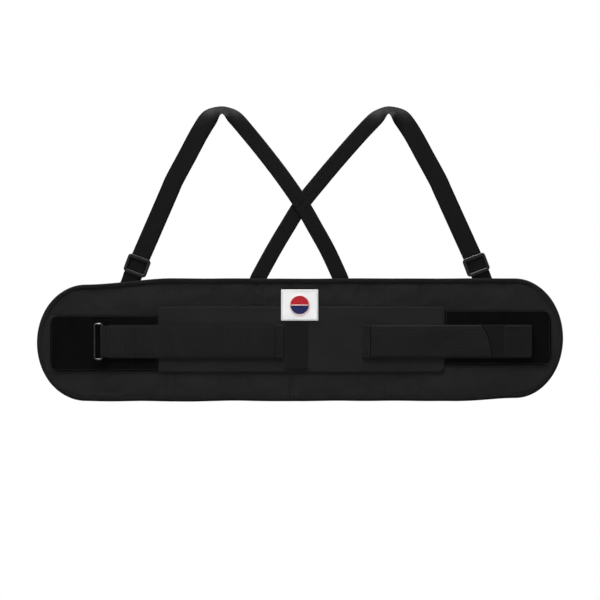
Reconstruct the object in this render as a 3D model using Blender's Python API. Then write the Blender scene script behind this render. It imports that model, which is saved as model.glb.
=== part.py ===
"""Elastic back-support work belt with crossed shoulder straps.

The belt hangs upright from its two shoulder straps. X runs along the belt, Y through its
thickness with the outer face towards -Y, and Z up. The origin is the hanging point, midway
between the places where the straps turn over the shoulders. Heights below are given from the
belt's bottom edge and are moved to the frame by up().
"""

import math

import bmesh
import bpy
from mathutils import Matrix, Vector

# Belt outline
BELT_HEIGHT = 0.203
HALF_LENGTH = 0.434
END_REACH = 0.080
LEFT_DROOP = 0.010
LEFT_DROOP_FROM = 0.215
RIGHT_RISE = 0.005
RIGHT_RISE_FROM = 0.250
HANG_HEIGHT = 0.478

# Layers through the thickness, front face and back face of each
GAP = 0.0003
OUTER = (-0.0020, 0.0000)
CORE = (0.0003, 0.0011)
LINING = (0.0014, 0.0036)
PAD_BACK = 0.0048
PAD_INSET = 0.0078
BAND = (-0.0036, -0.0023)
TAPE = (-0.0044, -0.0039)
SIDE_STRAP = (-0.0062, -0.0046)
LABEL = (-0.0047, -0.0039)
EMBLEM = (-0.0054, -0.0050)
BINDING = (-0.0029, 0.0045)
BINDING_CLOTH = 0.0006
BINDING_WIDTH = 0.0070
PANEL_INSET = 0.0010
CLOSURE_HOOK = (0.0051, 0.0063)

# Fold lines of the two ends
FOLD_X = 0.322
FOLD_GAP = 0.0004

# Pieces sewn on the outer face: left, right, bottom, top
BAND_BOX = (-0.2337, 0.2387, 0.048, 0.156)
LEFT_PILE_BOX = (-0.412, -0.2343, 0.050, 0.142)
RIGHT_PILE_BOX = (0.2393, 0.414, 0.060, 0.150)
CENTRE_TAPE_BOX = (-0.0245, 0.013, 0.051, 0.131)
LABEL_BOX = (-0.031, 0.030, 0.133, 0.184)
EMBLEM_RADIUS = 0.0170
CLOSURE_BOX = (-0.414, -0.336, 0.045, 0.150)

# Flexible stays in their pockets between the outer panel and the lining
STAY_X = (-0.2105, -0.1245, -0.0900, 0.1080, 0.1515, 0.1905)
STAY_WIDTH = 0.011
STAY_Z = (0.012, 0.190)

# Side straps, which peel off the pile about their sewn ends
SIDE_STRAP_Z = (0.071, 0.126)
LEFT_SEAM_X = -0.0412
LEFT_STRAP_END_X = -0.3233
RIGHT_SEAM_X = 0.1170
RIGHT_ELASTIC_TOP_X = 0.299
RIGHT_ELASTIC_BOTTOM_X = 0.317
PULL_TAB_X = (0.337, 0.383)
PULL_TAB_CLOTH = 0.0012
SEWN_END = 0.0145

# Rectangular ring on the left side strap
RING_AXIS_X = -0.3265
RING_AXIS_Y = -0.0069
RING_REACH = 0.0121
RING_WIRE = 0.0014
RING_HEIGHT = 0.061
LOOP_CLOTH = 0.0012
LOOP_INSET = 0.0014

# Shoulder straps
WEB = 0.0016
WEB_Y = 0.0007
BACK_WIDTH = 0.026
FRONT_WIDTH = 0.031
CROSS_LIFT = 0.00095
APEX_TILT = math.radians(62)
TILT_REACH = 0.022
STRAP_FOOT = 0.205
ANCHOR_DEPTH = 0.040

# Each strap from the belt's back, over the shoulder, to its front leg: x, height, lift at the crossing
LEFT_STRAP = (
    (0.0660, STRAP_FOOT, 0),
    (0.0460, 0.248, 0.4),
    (0.0250, 0.286, 1),
    (0.0025, 0.325, 1),
    (-0.0248, 0.365, 1),
    (-0.0542, 0.404, 0.3),
    (-0.0866, 0.444, 0),
    (-0.1085, 0.4685, 0),
    (-0.1285, 0.4805, 0),
    (-0.1480, 0.4690, 0),
    (-0.1650, 0.444, 0),
    (-0.1864, 0.404, 0),
)
LEFT_LEG_FOOT_X = -0.2769
LEFT_LEG_ANGLE = math.radians(23.5)
RIGHT_STRAP = (
    (-0.0680, STRAP_FOOT, 0),
    (-0.0445, 0.248, 0.4),
    (-0.0220, 0.286, 1),
    (0.0025, 0.325, 1),
    (0.0346, 0.365, 1),
    (0.0676, 0.404, 0.3),
    (0.1031, 0.444, 0),
    (0.1275, 0.4685, 0),
    (0.1460, 0.4805, 0),
    (0.1655, 0.4690, 0),
    (0.1840, 0.444, 0),
    (0.2062, 0.404, 0),
)
RIGHT_LEG_FOOT_X = 0.2998
RIGHT_LEG_ANGLE = math.radians(24.35)
LEG_STRAIGHT_TOPS = (0.365, 0.345, 0.280, STRAP_FOOT)

# Strap adjusters
SLIDER_WIDTH = 0.0394
SLIDER_HEIGHT = 0.031
SLIDER_CORNER = 0.005
SLIDER_Y = (-0.0024, 0.0034)
SLIDER_SIDE = 0.0028
SLIDER_BAR = 0.005
CUTTER_STEP = 0.0002
LEFT_SLIDER_Z = 0.2238
RIGHT_SLIDER_Z = 0.2252
SLIDER_TILT = math.radians(20.5)
RETURN_Y = (0.0018, 0.0032)
RETURN_LENGTH = 0.012
RETURN_WIDTH = 0.029

BLACK_ELASTIC = (0.016, 0.016, 0.017)
BLACK_LINING = (0.012, 0.012, 0.013)
BLACK_PILE = (0.006, 0.006, 0.007)
BLACK_WEBBING = (0.009, 0.009, 0.010)
BLACK_HOOK = (0.014, 0.014, 0.015)
BLACK_MOULDED = (0.012, 0.012, 0.013)
STAY_GREY = (0.45, 0.45, 0.43)
LABEL_WHITE = (0.82, 0.82, 0.80)
EMBLEM_RED = (0.55, 0.03, 0.04)


def up(height):
    """A height above the belt's bottom edge, in the frame whose origin is the hanging point."""
    return height - HANG_HEIGHT


def material(name, colour, roughness, metallic=0.0):
    found = bpy.data.materials.get(name)
    if found:
        return found
    made = bpy.data.materials.new(name)
    made.use_nodes = True
    shader = made.node_tree.nodes["Principled BSDF"]
    shader.inputs["Base Color"].default_value = (*colour, 1)
    shader.inputs["Roughness"].default_value = roughness
    shader.inputs["Metallic"].default_value = metallic
    return made


def finish(name, mesh_data, stuff, parent=None):
    """Turns a bmesh into a named object, with its faces pointing out."""
    bmesh.ops.recalc_face_normals(mesh_data, faces=mesh_data.faces[:])
    mesh = bpy.data.meshes.new(name)
    mesh_data.to_mesh(mesh)
    mesh_data.free()
    piece = bpy.data.objects.new(name, mesh)
    piece.data.materials.append(stuff)
    bpy.context.scene.collection.objects.link(piece)
    if parent:
        piece.parent = parent
        piece.matrix_parent_inverse = parent.matrix_world.inverted()
    return piece


def pivot(name, place):
    """An empty on a joint's axis, which the joint's pieces are parented to."""
    empty = bpy.data.objects.new(name, None)
    empty.location = place
    bpy.context.scene.collection.objects.link(empty)
    bpy.context.view_layer.update()
    return empty


def smooth(value):
    value = min(1.0, max(0.0, value))
    return value * value * (3 - 2 * value)


def edge_height(x, side):
    """Height of the belt's top edge (side 1) or bottom edge (side -1) between its rounded ends."""
    shoulder = HALF_LENGTH - END_REACH
    if side > 0:
        return BELT_HEIGHT - LEFT_DROOP * smooth((-x - LEFT_DROOP_FROM) / (shoulder - LEFT_DROOP_FROM))
    return RIGHT_RISE * smooth((x - RIGHT_RISE_FROM) / (shoulder - RIGHT_RISE_FROM))


def straight_border(side):
    """The top or bottom border between the fold lines, left to right."""
    steps = 16
    reach = FOLD_X - FOLD_GAP
    stations = [-reach + 2 * reach * k / steps for k in range(steps + 1)]
    return [(x, edge_height(x, side)) for x in stations]


def end_border(hand):
    """The border of the left (hand -1) or right (hand 1) end, from the top fold line round to the bottom."""
    steps = 20
    shoulder = HALF_LENGTH - END_REACH
    high = edge_height(hand * shoulder, 1)
    low = edge_height(hand * shoulder, -1)
    cut = hand * (FOLD_X + FOLD_GAP)
    points = [(cut, edge_height(cut, 1))]
    for k in range(steps + 1):
        angle = math.pi / 2 - math.pi * k / steps
        x = hand * (shoulder + END_REACH * math.cos(angle))
        points.append((x, (high + low) / 2 + (high - low) / 2 * math.sin(angle)))
    return points + [(cut, edge_height(cut, -1))]


def moved_in(border, inset, hand):
    """A border moved in by inset. Inside is left of its direction for hand 1 and right of it for -1."""
    moved = []
    for k, (x, z) in enumerate(border):
        if k in (0, len(border) - 1):
            inward = Vector((0, -1 if z > BELT_HEIGHT / 2 else 1))
        else:
            along = Vector(border[k + 1]) - Vector(border[k - 1])
            inward = Vector((-along.y, along.x)).normalized() * hand
        moved.append((x + inward.x * inset, z + inward.y * inset))
    return moved


def slab(name, outline, layer, stuff, parent=None):
    """A flat piece of the given outline, in x and height, filling one layer of the thickness."""
    shape = bmesh.new()
    front = [shape.verts.new((x, layer[0], up(z))) for x, z in outline]
    back = [shape.verts.new((x, layer[1], up(z))) for x, z in outline]
    shape.faces.new(front)
    shape.faces.new(back[::-1])
    for k in range(len(outline)):
        following = (k + 1) % len(outline)
        shape.faces.new((front[following], front[k], back[k], back[following]))
    return finish(name, shape, stuff, parent)


def rectangle(box, radii=(0, 0, 0, 0), steps=4):
    """An outline of box (left, right, bottom, top). radii are its corners' from bottom left anticlockwise."""
    left, right, bottom, top = box
    corners = ((left, bottom, 1, 1), (right, bottom, -1, 1), (right, top, -1, -1), (left, top, 1, -1))
    points = []
    for k, ((x, z, into_x, into_z), radius) in enumerate(zip(corners, radii)):
        if radius == 0:
            points.append((x, z))
            continue
        for step in range(steps + 1):
            angle = math.radians(180 + 90 * k + 90 * step / steps)
            centre = (x + into_x * radius, z + into_z * radius)
            points.append((centre[0] + radius * math.cos(angle), centre[1] + radius * math.sin(angle)))
    return points


def padded_lining(name, borders, stuff, parent=None):
    """A lining whose padded middle stands proud of the edge that the binding presses flat.

    borders are one or two borders with the hand of each; two are the top and bottom of a strip."""
    section = (
        (PANEL_INSET, LINING[0]),
        (PANEL_INSET, LINING[1]),
        (PAD_INSET, LINING[1]),
        (PAD_INSET, PAD_BACK),
    )
    shape = bmesh.new()
    sides = []
    for border, hand in borders:
        lines = []
        for inset, y in section:
            lines.append([shape.verts.new((x, y, up(z))) for x, z in moved_in(border, inset, hand)])
        for line, following in zip(lines, lines[1:]):
            for a in range(len(border) - 1):
                shape.faces.new((line[a], line[a + 1], following[a + 1], following[a]))
        sides.append(lines)
    first, last = sides[0], sides[-1]
    if len(sides) == 1:
        shape.faces.new(first[0])
        shape.faces.new(first[-1])
        shape.faces.new([line[0] for line in first] + [line[-1] for line in first[::-1]])
        return finish(name, shape, stuff, parent)
    for k in range(len(borders[0][0]) - 1):
        for line in (0, -1):
            shape.faces.new((first[line][k], first[line][k + 1], last[line][k + 1], last[line][k]))
    for end in (0, -1):
        shape.faces.new([line[end] for line in first] + [line[end] for line in last[::-1]])
    return finish(name, shape, stuff, parent)


def binding(name, border, hand, stuff, parent=None):
    """Tape folded over the belt's edge, as a channel swept along the border."""
    front, back = BINDING
    cloth = BINDING_CLOTH
    section = (
        (0, front),
        (BINDING_WIDTH, front),
        (BINDING_WIDTH, front + cloth),
        (cloth, front + cloth),
        (cloth, back - cloth),
        (BINDING_WIDTH, back - cloth),
        (BINDING_WIDTH, back),
        (0, back),
    )
    shape = bmesh.new()
    lines = []
    for inset, y in section:
        lines.append([shape.verts.new((x, y, up(z))) for x, z in moved_in(border, inset, hand)])
    for k in range(len(section)):
        line, following = lines[k], lines[(k + 1) % len(section)]
        for a in range(len(border) - 1):
            shape.faces.new((line[a], line[a + 1], following[a + 1], following[a]))
    shape.faces.new([line[0] for line in lines])
    shape.faces.new([line[-1] for line in lines][::-1])
    return finish(name, shape, stuff, parent)


def belt_layers(stuff, left, right):
    """The outer panel, the lining and the edge binding of the middle and the two ends."""
    top, bottom = straight_border(1), straight_border(-1)
    middle = moved_in(top, PANEL_INSET, -1) + moved_in(bottom, PANEL_INSET, 1)[::-1]
    slab("outer_panel", middle, OUTER, stuff["elastic"])
    padded_lining("inner_lining", ((top, -1), (bottom, 1)), stuff["lining"])
    binding("top_binding", top, -1, stuff["binding"])
    binding("bottom_binding", bottom, 1, stuff["binding"])
    for word, hand, body in (("left", -1, left), ("right", 1, right)):
        border = end_border(hand)
        outline = moved_in(border, PANEL_INSET, -hand)
        slab(f"{word}_outer_panel", outline, OUTER, stuff["elastic"], body)
        padded_lining(f"{word}_lining", ((border, -hand),), stuff["lining"], body)
        binding(f"{word}_binding", border, -hand, stuff["binding"], body)


def sewn_on_pieces(stuff, left, right):
    """The second elastic layer, the pile patches, the tape, the label and the closing hook patch."""
    slab("middle_band", rectangle(BAND_BOX, (0.002, 0.008, 0.002, 0.002)), BAND, stuff["elastic"])
    inner, outer = FOLD_X - FOLD_GAP, FOLD_X + FOLD_GAP
    near = LEFT_PILE_BOX
    slab("left_pile_inner", rectangle((-inner, *near[1:])), BAND, stuff["pile"])
    round_left = (0.016, 0, 0, 0.016)
    slab("left_pile_outer", rectangle((near[0], -outer, *near[2:]), round_left), BAND, stuff["pile"], left)
    far = RIGHT_PILE_BOX
    slab("right_pile_inner", rectangle((far[0], inner, *far[2:])), BAND, stuff["pile"])
    round_right = (0, 0.016, 0.016, 0)
    slab("right_pile_outer", rectangle((outer, *far[1:]), round_right), BAND, stuff["pile"], right)
    slab("centre_tape", rectangle(CENTRE_TAPE_BOX), TAPE, stuff["binding"])
    slab("label", rectangle(LABEL_BOX), LABEL, stuff["label"])
    x = (LABEL_BOX[0] + LABEL_BOX[1]) / 2
    z = (LABEL_BOX[2] + LABEL_BOX[3]) / 2
    turns = [math.tau * k / 32 for k in range(32)]
    disc = [(x + EMBLEM_RADIUS * math.cos(a), z + EMBLEM_RADIUS * math.sin(a)) for a in turns]
    slab("label_emblem", disc, EMBLEM, stuff["emblem"])
    slab("closure_hook_patch", rectangle(CLOSURE_BOX, round_left), CLOSURE_HOOK, stuff["hook"], left)


def stays(stuff):
    for number, x in enumerate(STAY_X, 1):
        box = (x - STAY_WIDTH / 2, x + STAY_WIDTH / 2, *STAY_Z)
        slab(f"stay_{number}", rectangle(box, (0.004,) * 4, 3), CORE, stuff["stay"])


def side_straps(stuff, left, right):
    """The two elastic side straps, the parts that stay sewn down, and the right strap's hook end."""
    low, high = SIDE_STRAP_Z
    sewn = (SIDE_STRAP[0], TAPE[1])
    base = rectangle((LEFT_SEAM_X + GAP, LEFT_SEAM_X + SEWN_END, low, high))
    slab("left_strap_base", base, sewn, stuff["elastic"])
    strap = rectangle((LEFT_STRAP_END_X, LEFT_SEAM_X - GAP, low, high))
    slab("left_side_strap", strap, SIDE_STRAP, stuff["strap"], left)
    hook_box = (LEFT_STRAP_END_X + GAP, LEFT_STRAP_END_X + 0.070, low + 0.002, high - 0.002)
    slab("left_strap_hook", rectangle(hook_box), TAPE, stuff["hook"], left)
    base = rectangle((RIGHT_SEAM_X - SEWN_END, RIGHT_SEAM_X - GAP, low, high))
    slab("right_strap_base", base, sewn, stuff["elastic"])
    steps = 6
    end = []
    for k in range(steps + 1):
        share = k / steps
        x = RIGHT_ELASTIC_BOTTOM_X + (RIGHT_ELASTIC_TOP_X - RIGHT_ELASTIC_BOTTOM_X) * share
        end.append((x + 0.004 * math.sin(math.pi * share), low + (high - low) * share))
    seam = RIGHT_SEAM_X + GAP
    slab("right_side_strap", [(seam, low), *end, (seam, high)], SIDE_STRAP, stuff["strap"], right)
    clear = [(x + 0.0005, z) for x, z in end]
    tab_end = PULL_TAB_X[1]
    tab = [(tab_end, high), *clear[::-1], (tab_end, low)]
    slab("right_hook_tab", tab, SIDE_STRAP, stuff["hook"], right)
    pull_layer = (SIDE_STRAP[0] - GAP - PULL_TAB_CLOTH, SIDE_STRAP[0] - GAP)
    pull = rectangle((*PULL_TAB_X, low + 0.001, high - 0.001), (0.003,) * 4, 3)
    slab("right_pull_tab", pull, pull_layer, stuff["strap"], right)
    backing = (PULL_TAB_X[0] - 0.012, PULL_TAB_X[1] - 0.002, low + 0.002, high - 0.002)
    slab("right_strap_hook", rectangle(backing), TAPE, stuff["hook"], right)


def strap_end_loop(stuff, parent):
    """The left strap's end, folded round the ring's inner bar: a short tube standing along Z."""
    inner, outer = RING_WIRE + GAP, RING_WIRE + GAP + LOOP_CLOTH
    low, high = SIDE_STRAP_Z[0] + LOOP_INSET, SIDE_STRAP_Z[1] - LOOP_INSET
    sides = 20
    shape = bmesh.new()
    rings = []
    for radius, height in ((outer, low), (outer, high), (inner, high), (inner, low)):
        ring = []
        for k in range(sides):
            angle = math.tau * k / sides
            x = RING_AXIS_X + radius * math.cos(angle)
            y = RING_AXIS_Y + radius * math.sin(angle)
            ring.append(shape.verts.new((x, y, up(height))))
        rings.append(ring)
    for k in range(len(rings)):
        bridge(shape, rings[k], rings[(k + 1) % len(rings)])
    finish("left_strap_loop", shape, stuff["strap"], parent)


def bridge(shape, ring, following):
    """Faces between two closed rings with the same number of points."""
    for k in range(len(ring)):
        after = (k + 1) % len(ring)
        shape.faces.new((ring[k], ring[after], following[after], following[k]))


def rectangular_ring(stuff, parent):
    """The wire ring, swept round a rounded rectangle whose inner bar is the ring's hinge."""
    middle = sum(SIDE_STRAP_Z) / 2
    half = RING_HEIGHT / 2 - RING_WIRE
    box = (RING_AXIS_X - RING_REACH, RING_AXIS_X, middle - half, middle + half)
    path = rectangle(box, (0.0026,) * 4, 4)
    sides = 10
    shape = bmesh.new()
    rings = []
    for k, (x, z) in enumerate(path):
        before, after = Vector(path[k - 1]), Vector(path[(k + 1) % len(path)])
        along = (after - before).normalized()
        across = Vector((along.y, 0, -along.x))
        ring = []
        for side in range(sides):
            angle = math.tau * side / sides
            offset = across * math.cos(angle) + Vector((0, 1, 0)) * math.sin(angle)
            ring.append(shape.verts.new(Vector((x, RING_AXIS_Y, up(z))) + offset * RING_WIRE))
        rings.append(ring)
    for k in range(len(rings)):
        bridge(shape, rings[k], rings[(k + 1) % len(rings)])
    finish("left_ring", shape, stuff["ring"], parent).data.shade_smooth()


def leg_point(foot_x, angle, hand, height):
    """A point on a front leg's straight stretch, which leans in by angle from the foot."""
    return (foot_x - hand * math.tan(angle) * (height - STRAP_FOOT), height, 0)


def strap_path(points):
    """A smooth curve through the strap's points, with short steps round the shoulder turn."""
    places = [Vector((x, 0, z)) for x, z, _ in points]
    lifts = [lift for _, _, lift in points]
    path = []
    for k in range(len(places) - 1):
        a, b, c, d = (max(0, k - 1), k, k + 1, min(len(places) - 1, k + 2))
        long = (places[c] - places[b]).length
        steps = max(2, math.ceil(long / 0.016)) if long > 0.026 else 4
        for step in range(steps):
            t = step / steps
            blend = catmull(*(places[i] for i in (a, b, c, d)), t)
            path.append((blend, lifts[b] + (lifts[c] - lifts[b]) * smooth(t)))
    return path + [(places[-1], lifts[-1])]


def catmull(a, b, c, d, t):
    """A point between b and c on the smooth curve through four points."""
    pull = (c - a) * t + (a * 2 - b * 5 + c * 4 - d) * t**2 + (b * 3 - a - c * 3 + d) * t**3
    return b + pull / 2


def shoulder_strap(name, points, hand, stuff):
    """Webbing swept along its path, turned on edge where it passes over the shoulder."""
    path = strap_path(points)
    apex = max(range(len(path)), key=lambda k: path[k][0].z)
    travelled = [0.0]
    for k in range(1, len(path)):
        travelled.append(travelled[-1] + (path[k][0] - path[k - 1][0]).length)
    shape = bmesh.new()
    rings = []
    for k, (place, lift) in enumerate(path):
        before, after = path[max(0, k - 1)][0], path[min(len(path) - 1, k + 1)][0]
        along = (after - before).normalized()
        away = travelled[k] - travelled[apex]
        tilt = APEX_TILT * math.exp(-((away / TILT_REACH) ** 2))
        inner = Vector((along.z, 0, -along.x)) * hand
        across = inner * math.cos(tilt) + Vector((0, -math.sin(tilt), 0))
        normal = along.cross(across)
        if k in (0, len(path) - 1):
            across = Vector((math.copysign(1 / abs(along.z), inner.x), 0, 0))
        width = BACK_WIDTH + (FRONT_WIDTH - BACK_WIDTH) * smooth((away + 0.03) / 0.06)
        y = WEB_Y + hand * CROSS_LIFT * lift
        centre = Vector((place.x, y, up(place.z)))
        corners = ((-1, -1), (1, -1), (1, 1), (-1, 1))
        ring = [centre + across * (a * width / 2) + normal * (b * WEB / 2) for a, b in corners]
        rings.append([shape.verts.new(corner) for corner in ring])
    for ring, following in zip(rings, rings[1:]):
        bridge(shape, ring, following)
    shape.faces.new(rings[0])
    shape.faces.new(rings[-1][::-1])
    finish(name, shape, stuff["webbing"])


def cuboid(shape_box, place, turn):
    """A hidden box used to cut a piece: shape_box is (low corner, high corner) about place."""
    low, high = (Vector(corner) for corner in shape_box)
    shape = bmesh.new()
    bmesh.ops.create_cube(shape, size=1.0)
    bmesh.ops.scale(shape, vec=high - low, verts=shape.verts)
    bmesh.ops.translate(shape, vec=(high + low) / 2, verts=shape.verts)
    bmesh.ops.transform(shape, matrix=Matrix.Translation(place) @ turn.to_4x4(), verts=shape.verts)
    mesh = bpy.data.meshes.new("cutter")
    shape.to_mesh(mesh)
    shape.free()
    cutter = bpy.data.objects.new("cutter", mesh)
    cutter.hide_render = True
    cutter.display_type = "WIRE"
    bpy.context.scene.collection.objects.link(cutter)
    return cutter


def slider(name, centre, hand, stuff):
    """A three-bar strap adjuster: upper and lower bars before the webbing, the centre bar behind it."""
    front, back = SLIDER_Y
    half_width, half_height = SLIDER_WIDTH / 2, SLIDER_HEIGHT / 2
    place = Vector((centre[0], 0, up(centre[1])))
    turn = Matrix.Rotation(-hand * SLIDER_TILT, 3, "Y")
    shape = bmesh.new()
    outline = rectangle((-half_width, half_width, -half_height, half_height), (SLIDER_CORNER,) * 4, 5)
    near = [shape.verts.new(place + turn @ Vector((x, front, z))) for x, z in outline]
    far = [shape.verts.new(place + turn @ Vector((x, back, z))) for x, z in outline]
    shape.faces.new(near)
    shape.faces.new(far[::-1])
    bridge(shape, near, far)
    piece = finish(name, shape, stuff["moulded"])
    room = half_width - SLIDER_SIDE
    front_room = room - CUTTER_STEP
    back_room = room + CUTTER_STEP
    web_front = WEB_Y - WEB / 2 - GAP
    web_back = WEB_Y + WEB / 2 + GAP
    window = half_height - SLIDER_BAR
    beyond = 0.01
    cuts = (
        ((-room, web_front, -half_height - beyond), (room, web_back, half_height + beyond)),
        ((-front_room, front - beyond, -window), (front_room, web_front + GAP, window)),
        ((-back_room, web_back - GAP, SLIDER_BAR / 2), (back_room, back + beyond, half_height + beyond)),
        ((-back_room, web_back - GAP, -half_height - beyond), (back_room, back + beyond, -SLIDER_BAR / 2)),
    )
    for cut in cuts:
        modifier = piece.modifiers.new("opening", "BOOLEAN")
        modifier.object = cuboid(cut, place, turn)
        modifier.solver = "EXACT"
    return piece


def return_webbing(name, foot_x, angle, hand, stuff):
    """The strap's end, which comes back up behind the leg to the adjuster's centre bar."""
    foot_half = RETURN_WIDTH / 2 / math.cos(angle)
    top = leg_point(foot_x, angle, hand, STRAP_FOOT + RETURN_LENGTH * math.cos(angle))
    half = Vector((math.cos(angle), hand * math.sin(angle))) * (RETURN_WIDTH / 2)
    outline = [
        (foot_x - foot_half, STRAP_FOOT),
        (foot_x + foot_half, STRAP_FOOT),
        (top[0] + half.x, top[1] + half.y),
        (top[0] - half.x, top[1] - half.y),
    ]
    slab(name, outline, RETURN_Y, stuff["webbing"])


def anchors(stuff):
    """The strap ends that are sewn between the outer panel and the lining."""
    places = (
        ("back_anchor_right", LEFT_STRAP[0][0], BACK_WIDTH - 0.002),
        ("back_anchor_left", RIGHT_STRAP[0][0], BACK_WIDTH - 0.002),
        ("front_anchor_left", LEFT_LEG_FOOT_X, FRONT_WIDTH - 0.002),
        ("front_anchor_right", RIGHT_LEG_FOOT_X, FRONT_WIDTH - 0.002),
    )
    for name, x, width in places:
        top = edge_height(x - width / 2, 1) - 2 * PANEL_INSET
        outline = rectangle((x - width / 2, x + width / 2, top - ANCHOR_DEPTH, top))
        slab(name, outline, CORE, stuff["webbing"])


def shoulder_straps(stuff):
    legs = (
        ("left", LEFT_STRAP, LEFT_LEG_FOOT_X, LEFT_LEG_ANGLE, -1, LEFT_SLIDER_Z),
        ("right", RIGHT_STRAP, RIGHT_LEG_FOOT_X, RIGHT_LEG_ANGLE, 1, RIGHT_SLIDER_Z),
    )
    for word, route, foot_x, angle, hand, slider_z in legs:
        leg = tuple(leg_point(foot_x, angle, hand, height) for height in LEG_STRAIGHT_TOPS)
        shoulder_strap(f"suspender_{word}", route + leg, hand, stuff)
        return_webbing(f"{word}_webbing_return", foot_x, angle, hand, stuff)
        centre = leg_point(foot_x, angle, hand, slider_z)
        slider(f"{word}_slider", centre, hand, stuff)


def main():
    for old in list(bpy.data.objects):
        bpy.data.objects.remove(old, do_unlink=True)
    stuff = {
        "elastic": material("black_elastic", BLACK_ELASTIC, 0.85),
        "strap": material("strap_elastic", BLACK_ELASTIC, 0.8),
        "lining": material("lining_cloth", BLACK_LINING, 0.9),
        "binding": material("binding_tape", BLACK_WEBBING, 0.7),
        "pile": material("loop_pile", BLACK_PILE, 0.95),
        "hook": material("hook_tape", BLACK_HOOK, 0.6),
        "webbing": material("webbing", BLACK_WEBBING, 0.6),
        "label": material("label_cloth", LABEL_WHITE, 0.7),
        "emblem": material("emblem_thread", EMBLEM_RED, 0.6),
        "stay": material("stay_plastic", STAY_GREY, 0.4),
        "moulded": material("slider_plastic", BLACK_MOULDED, 0.3),
        "ring": material("ring_metal", BLACK_MOULDED, 0.35, 0.6),
    }
    left = pivot("left_fold", (-FOLD_X, PAD_BACK + GAP, up(BELT_HEIGHT / 2)))
    right = pivot("right_fold", (FOLD_X, PAD_BACK + GAP, up(BELT_HEIGHT / 2)))
    strap_z = up(sum(SIDE_STRAP_Z) / 2)
    left_peel = pivot("left_peel", (LEFT_SEAM_X, SIDE_STRAP[0] - GAP, strap_z))
    right_peel = pivot("right_peel", (RIGHT_SEAM_X, SIDE_STRAP[0] - GAP, strap_z))
    ring_hinge = pivot("ring_hinge", (RING_AXIS_X, RING_AXIS_Y, strap_z))
    belt_layers(stuff, left, right)
    sewn_on_pieces(stuff, left, right)
    stays(stuff)
    side_straps(stuff, left_peel, right_peel)
    strap_end_loop(stuff, left_peel)
    rectangular_ring(stuff, ring_hinge)
    anchors(stuff)
    shoulder_straps(stuff)


main()
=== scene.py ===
"""Looks of an elastic back-support work belt with crossed shoulder straps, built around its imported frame.

X runs along the belt, the outer face looks towards -Y and Z is up. Every length is in metres.
"""

import math

import bmesh
import bpy
import numpy as np
from bpy.props import FloatProperty, FloatVectorProperty, IntProperty, PointerProperty
from bpy.types import Operator, Panel, PropertyGroup
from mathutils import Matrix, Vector, noise


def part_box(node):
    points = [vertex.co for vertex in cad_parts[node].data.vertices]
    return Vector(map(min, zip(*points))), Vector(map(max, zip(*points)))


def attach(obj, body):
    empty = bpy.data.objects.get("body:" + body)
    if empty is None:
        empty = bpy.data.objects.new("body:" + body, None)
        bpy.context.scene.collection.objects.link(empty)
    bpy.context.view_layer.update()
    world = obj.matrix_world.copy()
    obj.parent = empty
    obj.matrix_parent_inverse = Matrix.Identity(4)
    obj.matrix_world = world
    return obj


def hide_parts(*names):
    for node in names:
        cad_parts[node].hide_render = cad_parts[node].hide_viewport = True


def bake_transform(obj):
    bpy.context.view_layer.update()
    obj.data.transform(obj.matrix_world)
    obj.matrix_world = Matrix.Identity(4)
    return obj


bl_info = {
    "name": "Back-support Belt",
    "version": (1, 0, 0),
    "blender": (4, 5, 0),
    "location": "View3D > Sidebar > Belt",
    "description": "Builds an elastic back-support belt with crossed shoulder straps",
    "category": "Object",
}

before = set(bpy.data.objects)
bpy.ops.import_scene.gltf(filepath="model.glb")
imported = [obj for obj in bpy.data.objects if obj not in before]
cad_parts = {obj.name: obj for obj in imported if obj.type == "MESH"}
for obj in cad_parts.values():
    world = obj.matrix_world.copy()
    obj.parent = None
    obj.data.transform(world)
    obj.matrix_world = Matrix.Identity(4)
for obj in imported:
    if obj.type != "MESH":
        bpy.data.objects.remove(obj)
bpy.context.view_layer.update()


def low(node):
    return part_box(node)[0]


def high(node):
    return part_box(node)[1]


def middle(node):
    return (low(node) + high(node)) / 2


def faces(node):
    """Front and back y of a CAD piece."""
    return low(node).y, high(node).y


def sides(node):
    """Left, right, bottom and top of a CAD piece."""
    least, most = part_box(node)
    return least.x, most.x, least.z, most.z


BOTTOM, TOP = low("bottom_binding").z, high("top_binding").z
HALF_LENGTH = high("right_binding").x
END_REACH = 0.080
SHOULDER = HALF_LENGTH - END_REACH
DROOP, DROOP_FROM = 0.010, 0.215
RISE, RISE_FROM = 0.005, 0.250
FOLD_X = high("outer_panel").x
CENTRE_SEAM = -0.015
OUTER, OUTER_BACK = low("outer_panel").y, high("outer_panel").y
LINING, LINING_BACK = low("inner_lining").y, high("inner_lining").y
BINDING, BINDING_BACK = low("top_binding").y, high("top_binding").y
BAND, BAND_BACK = low("middle_band").y, high("middle_band").y
FRONT, BACK = np.array((0.0, -1.0, 0.0)), np.array((0.0, 1.0, 0.0))
FOLD_BEFORE, FOLD_AFTER = 0.003, 0.028
POCKET_MARGIN = 0.0075
STAY_X = [middle(f"stay_{number}").x for number in range(1, 7)]
POCKETS = ((STAY_X[0], STAY_X[0]), (STAY_X[1], STAY_X[2]), (STAY_X[3], STAY_X[3]), (STAY_X[4], STAY_X[5]))
CHANNELS = sorted([x for a, b in POCKETS for x in (a - POCKET_MARGIN, b + POCKET_MARGIN)] + [CENTRE_SEAM])
MESH_STEP = 0.004
HEM = 0.0010
CREASE = math.radians(55)
# The share of a blown sheet's points, in percent, that stay within its furthest bulge without being held back
FULLEST = 92


def up(height):
    """A height above the belt's bottom edge, in the frame."""
    return BOTTOM + height


WEB_Y = middle("back_anchor_left").y
EDGE_HEIGHT = 0.205
LEG_HEIGHTS = (0.365, 0.345, 0.280, EDGE_HEIGHT)
# Inside the belt the webbing's ends run down to these heights, and are thinner and narrower than outside
SEWN_HEIGHTS = (0.184, 0.1625)
SEWN_THICKNESS, SEWN_NARROWING = 0.0007, 0.002
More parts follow.
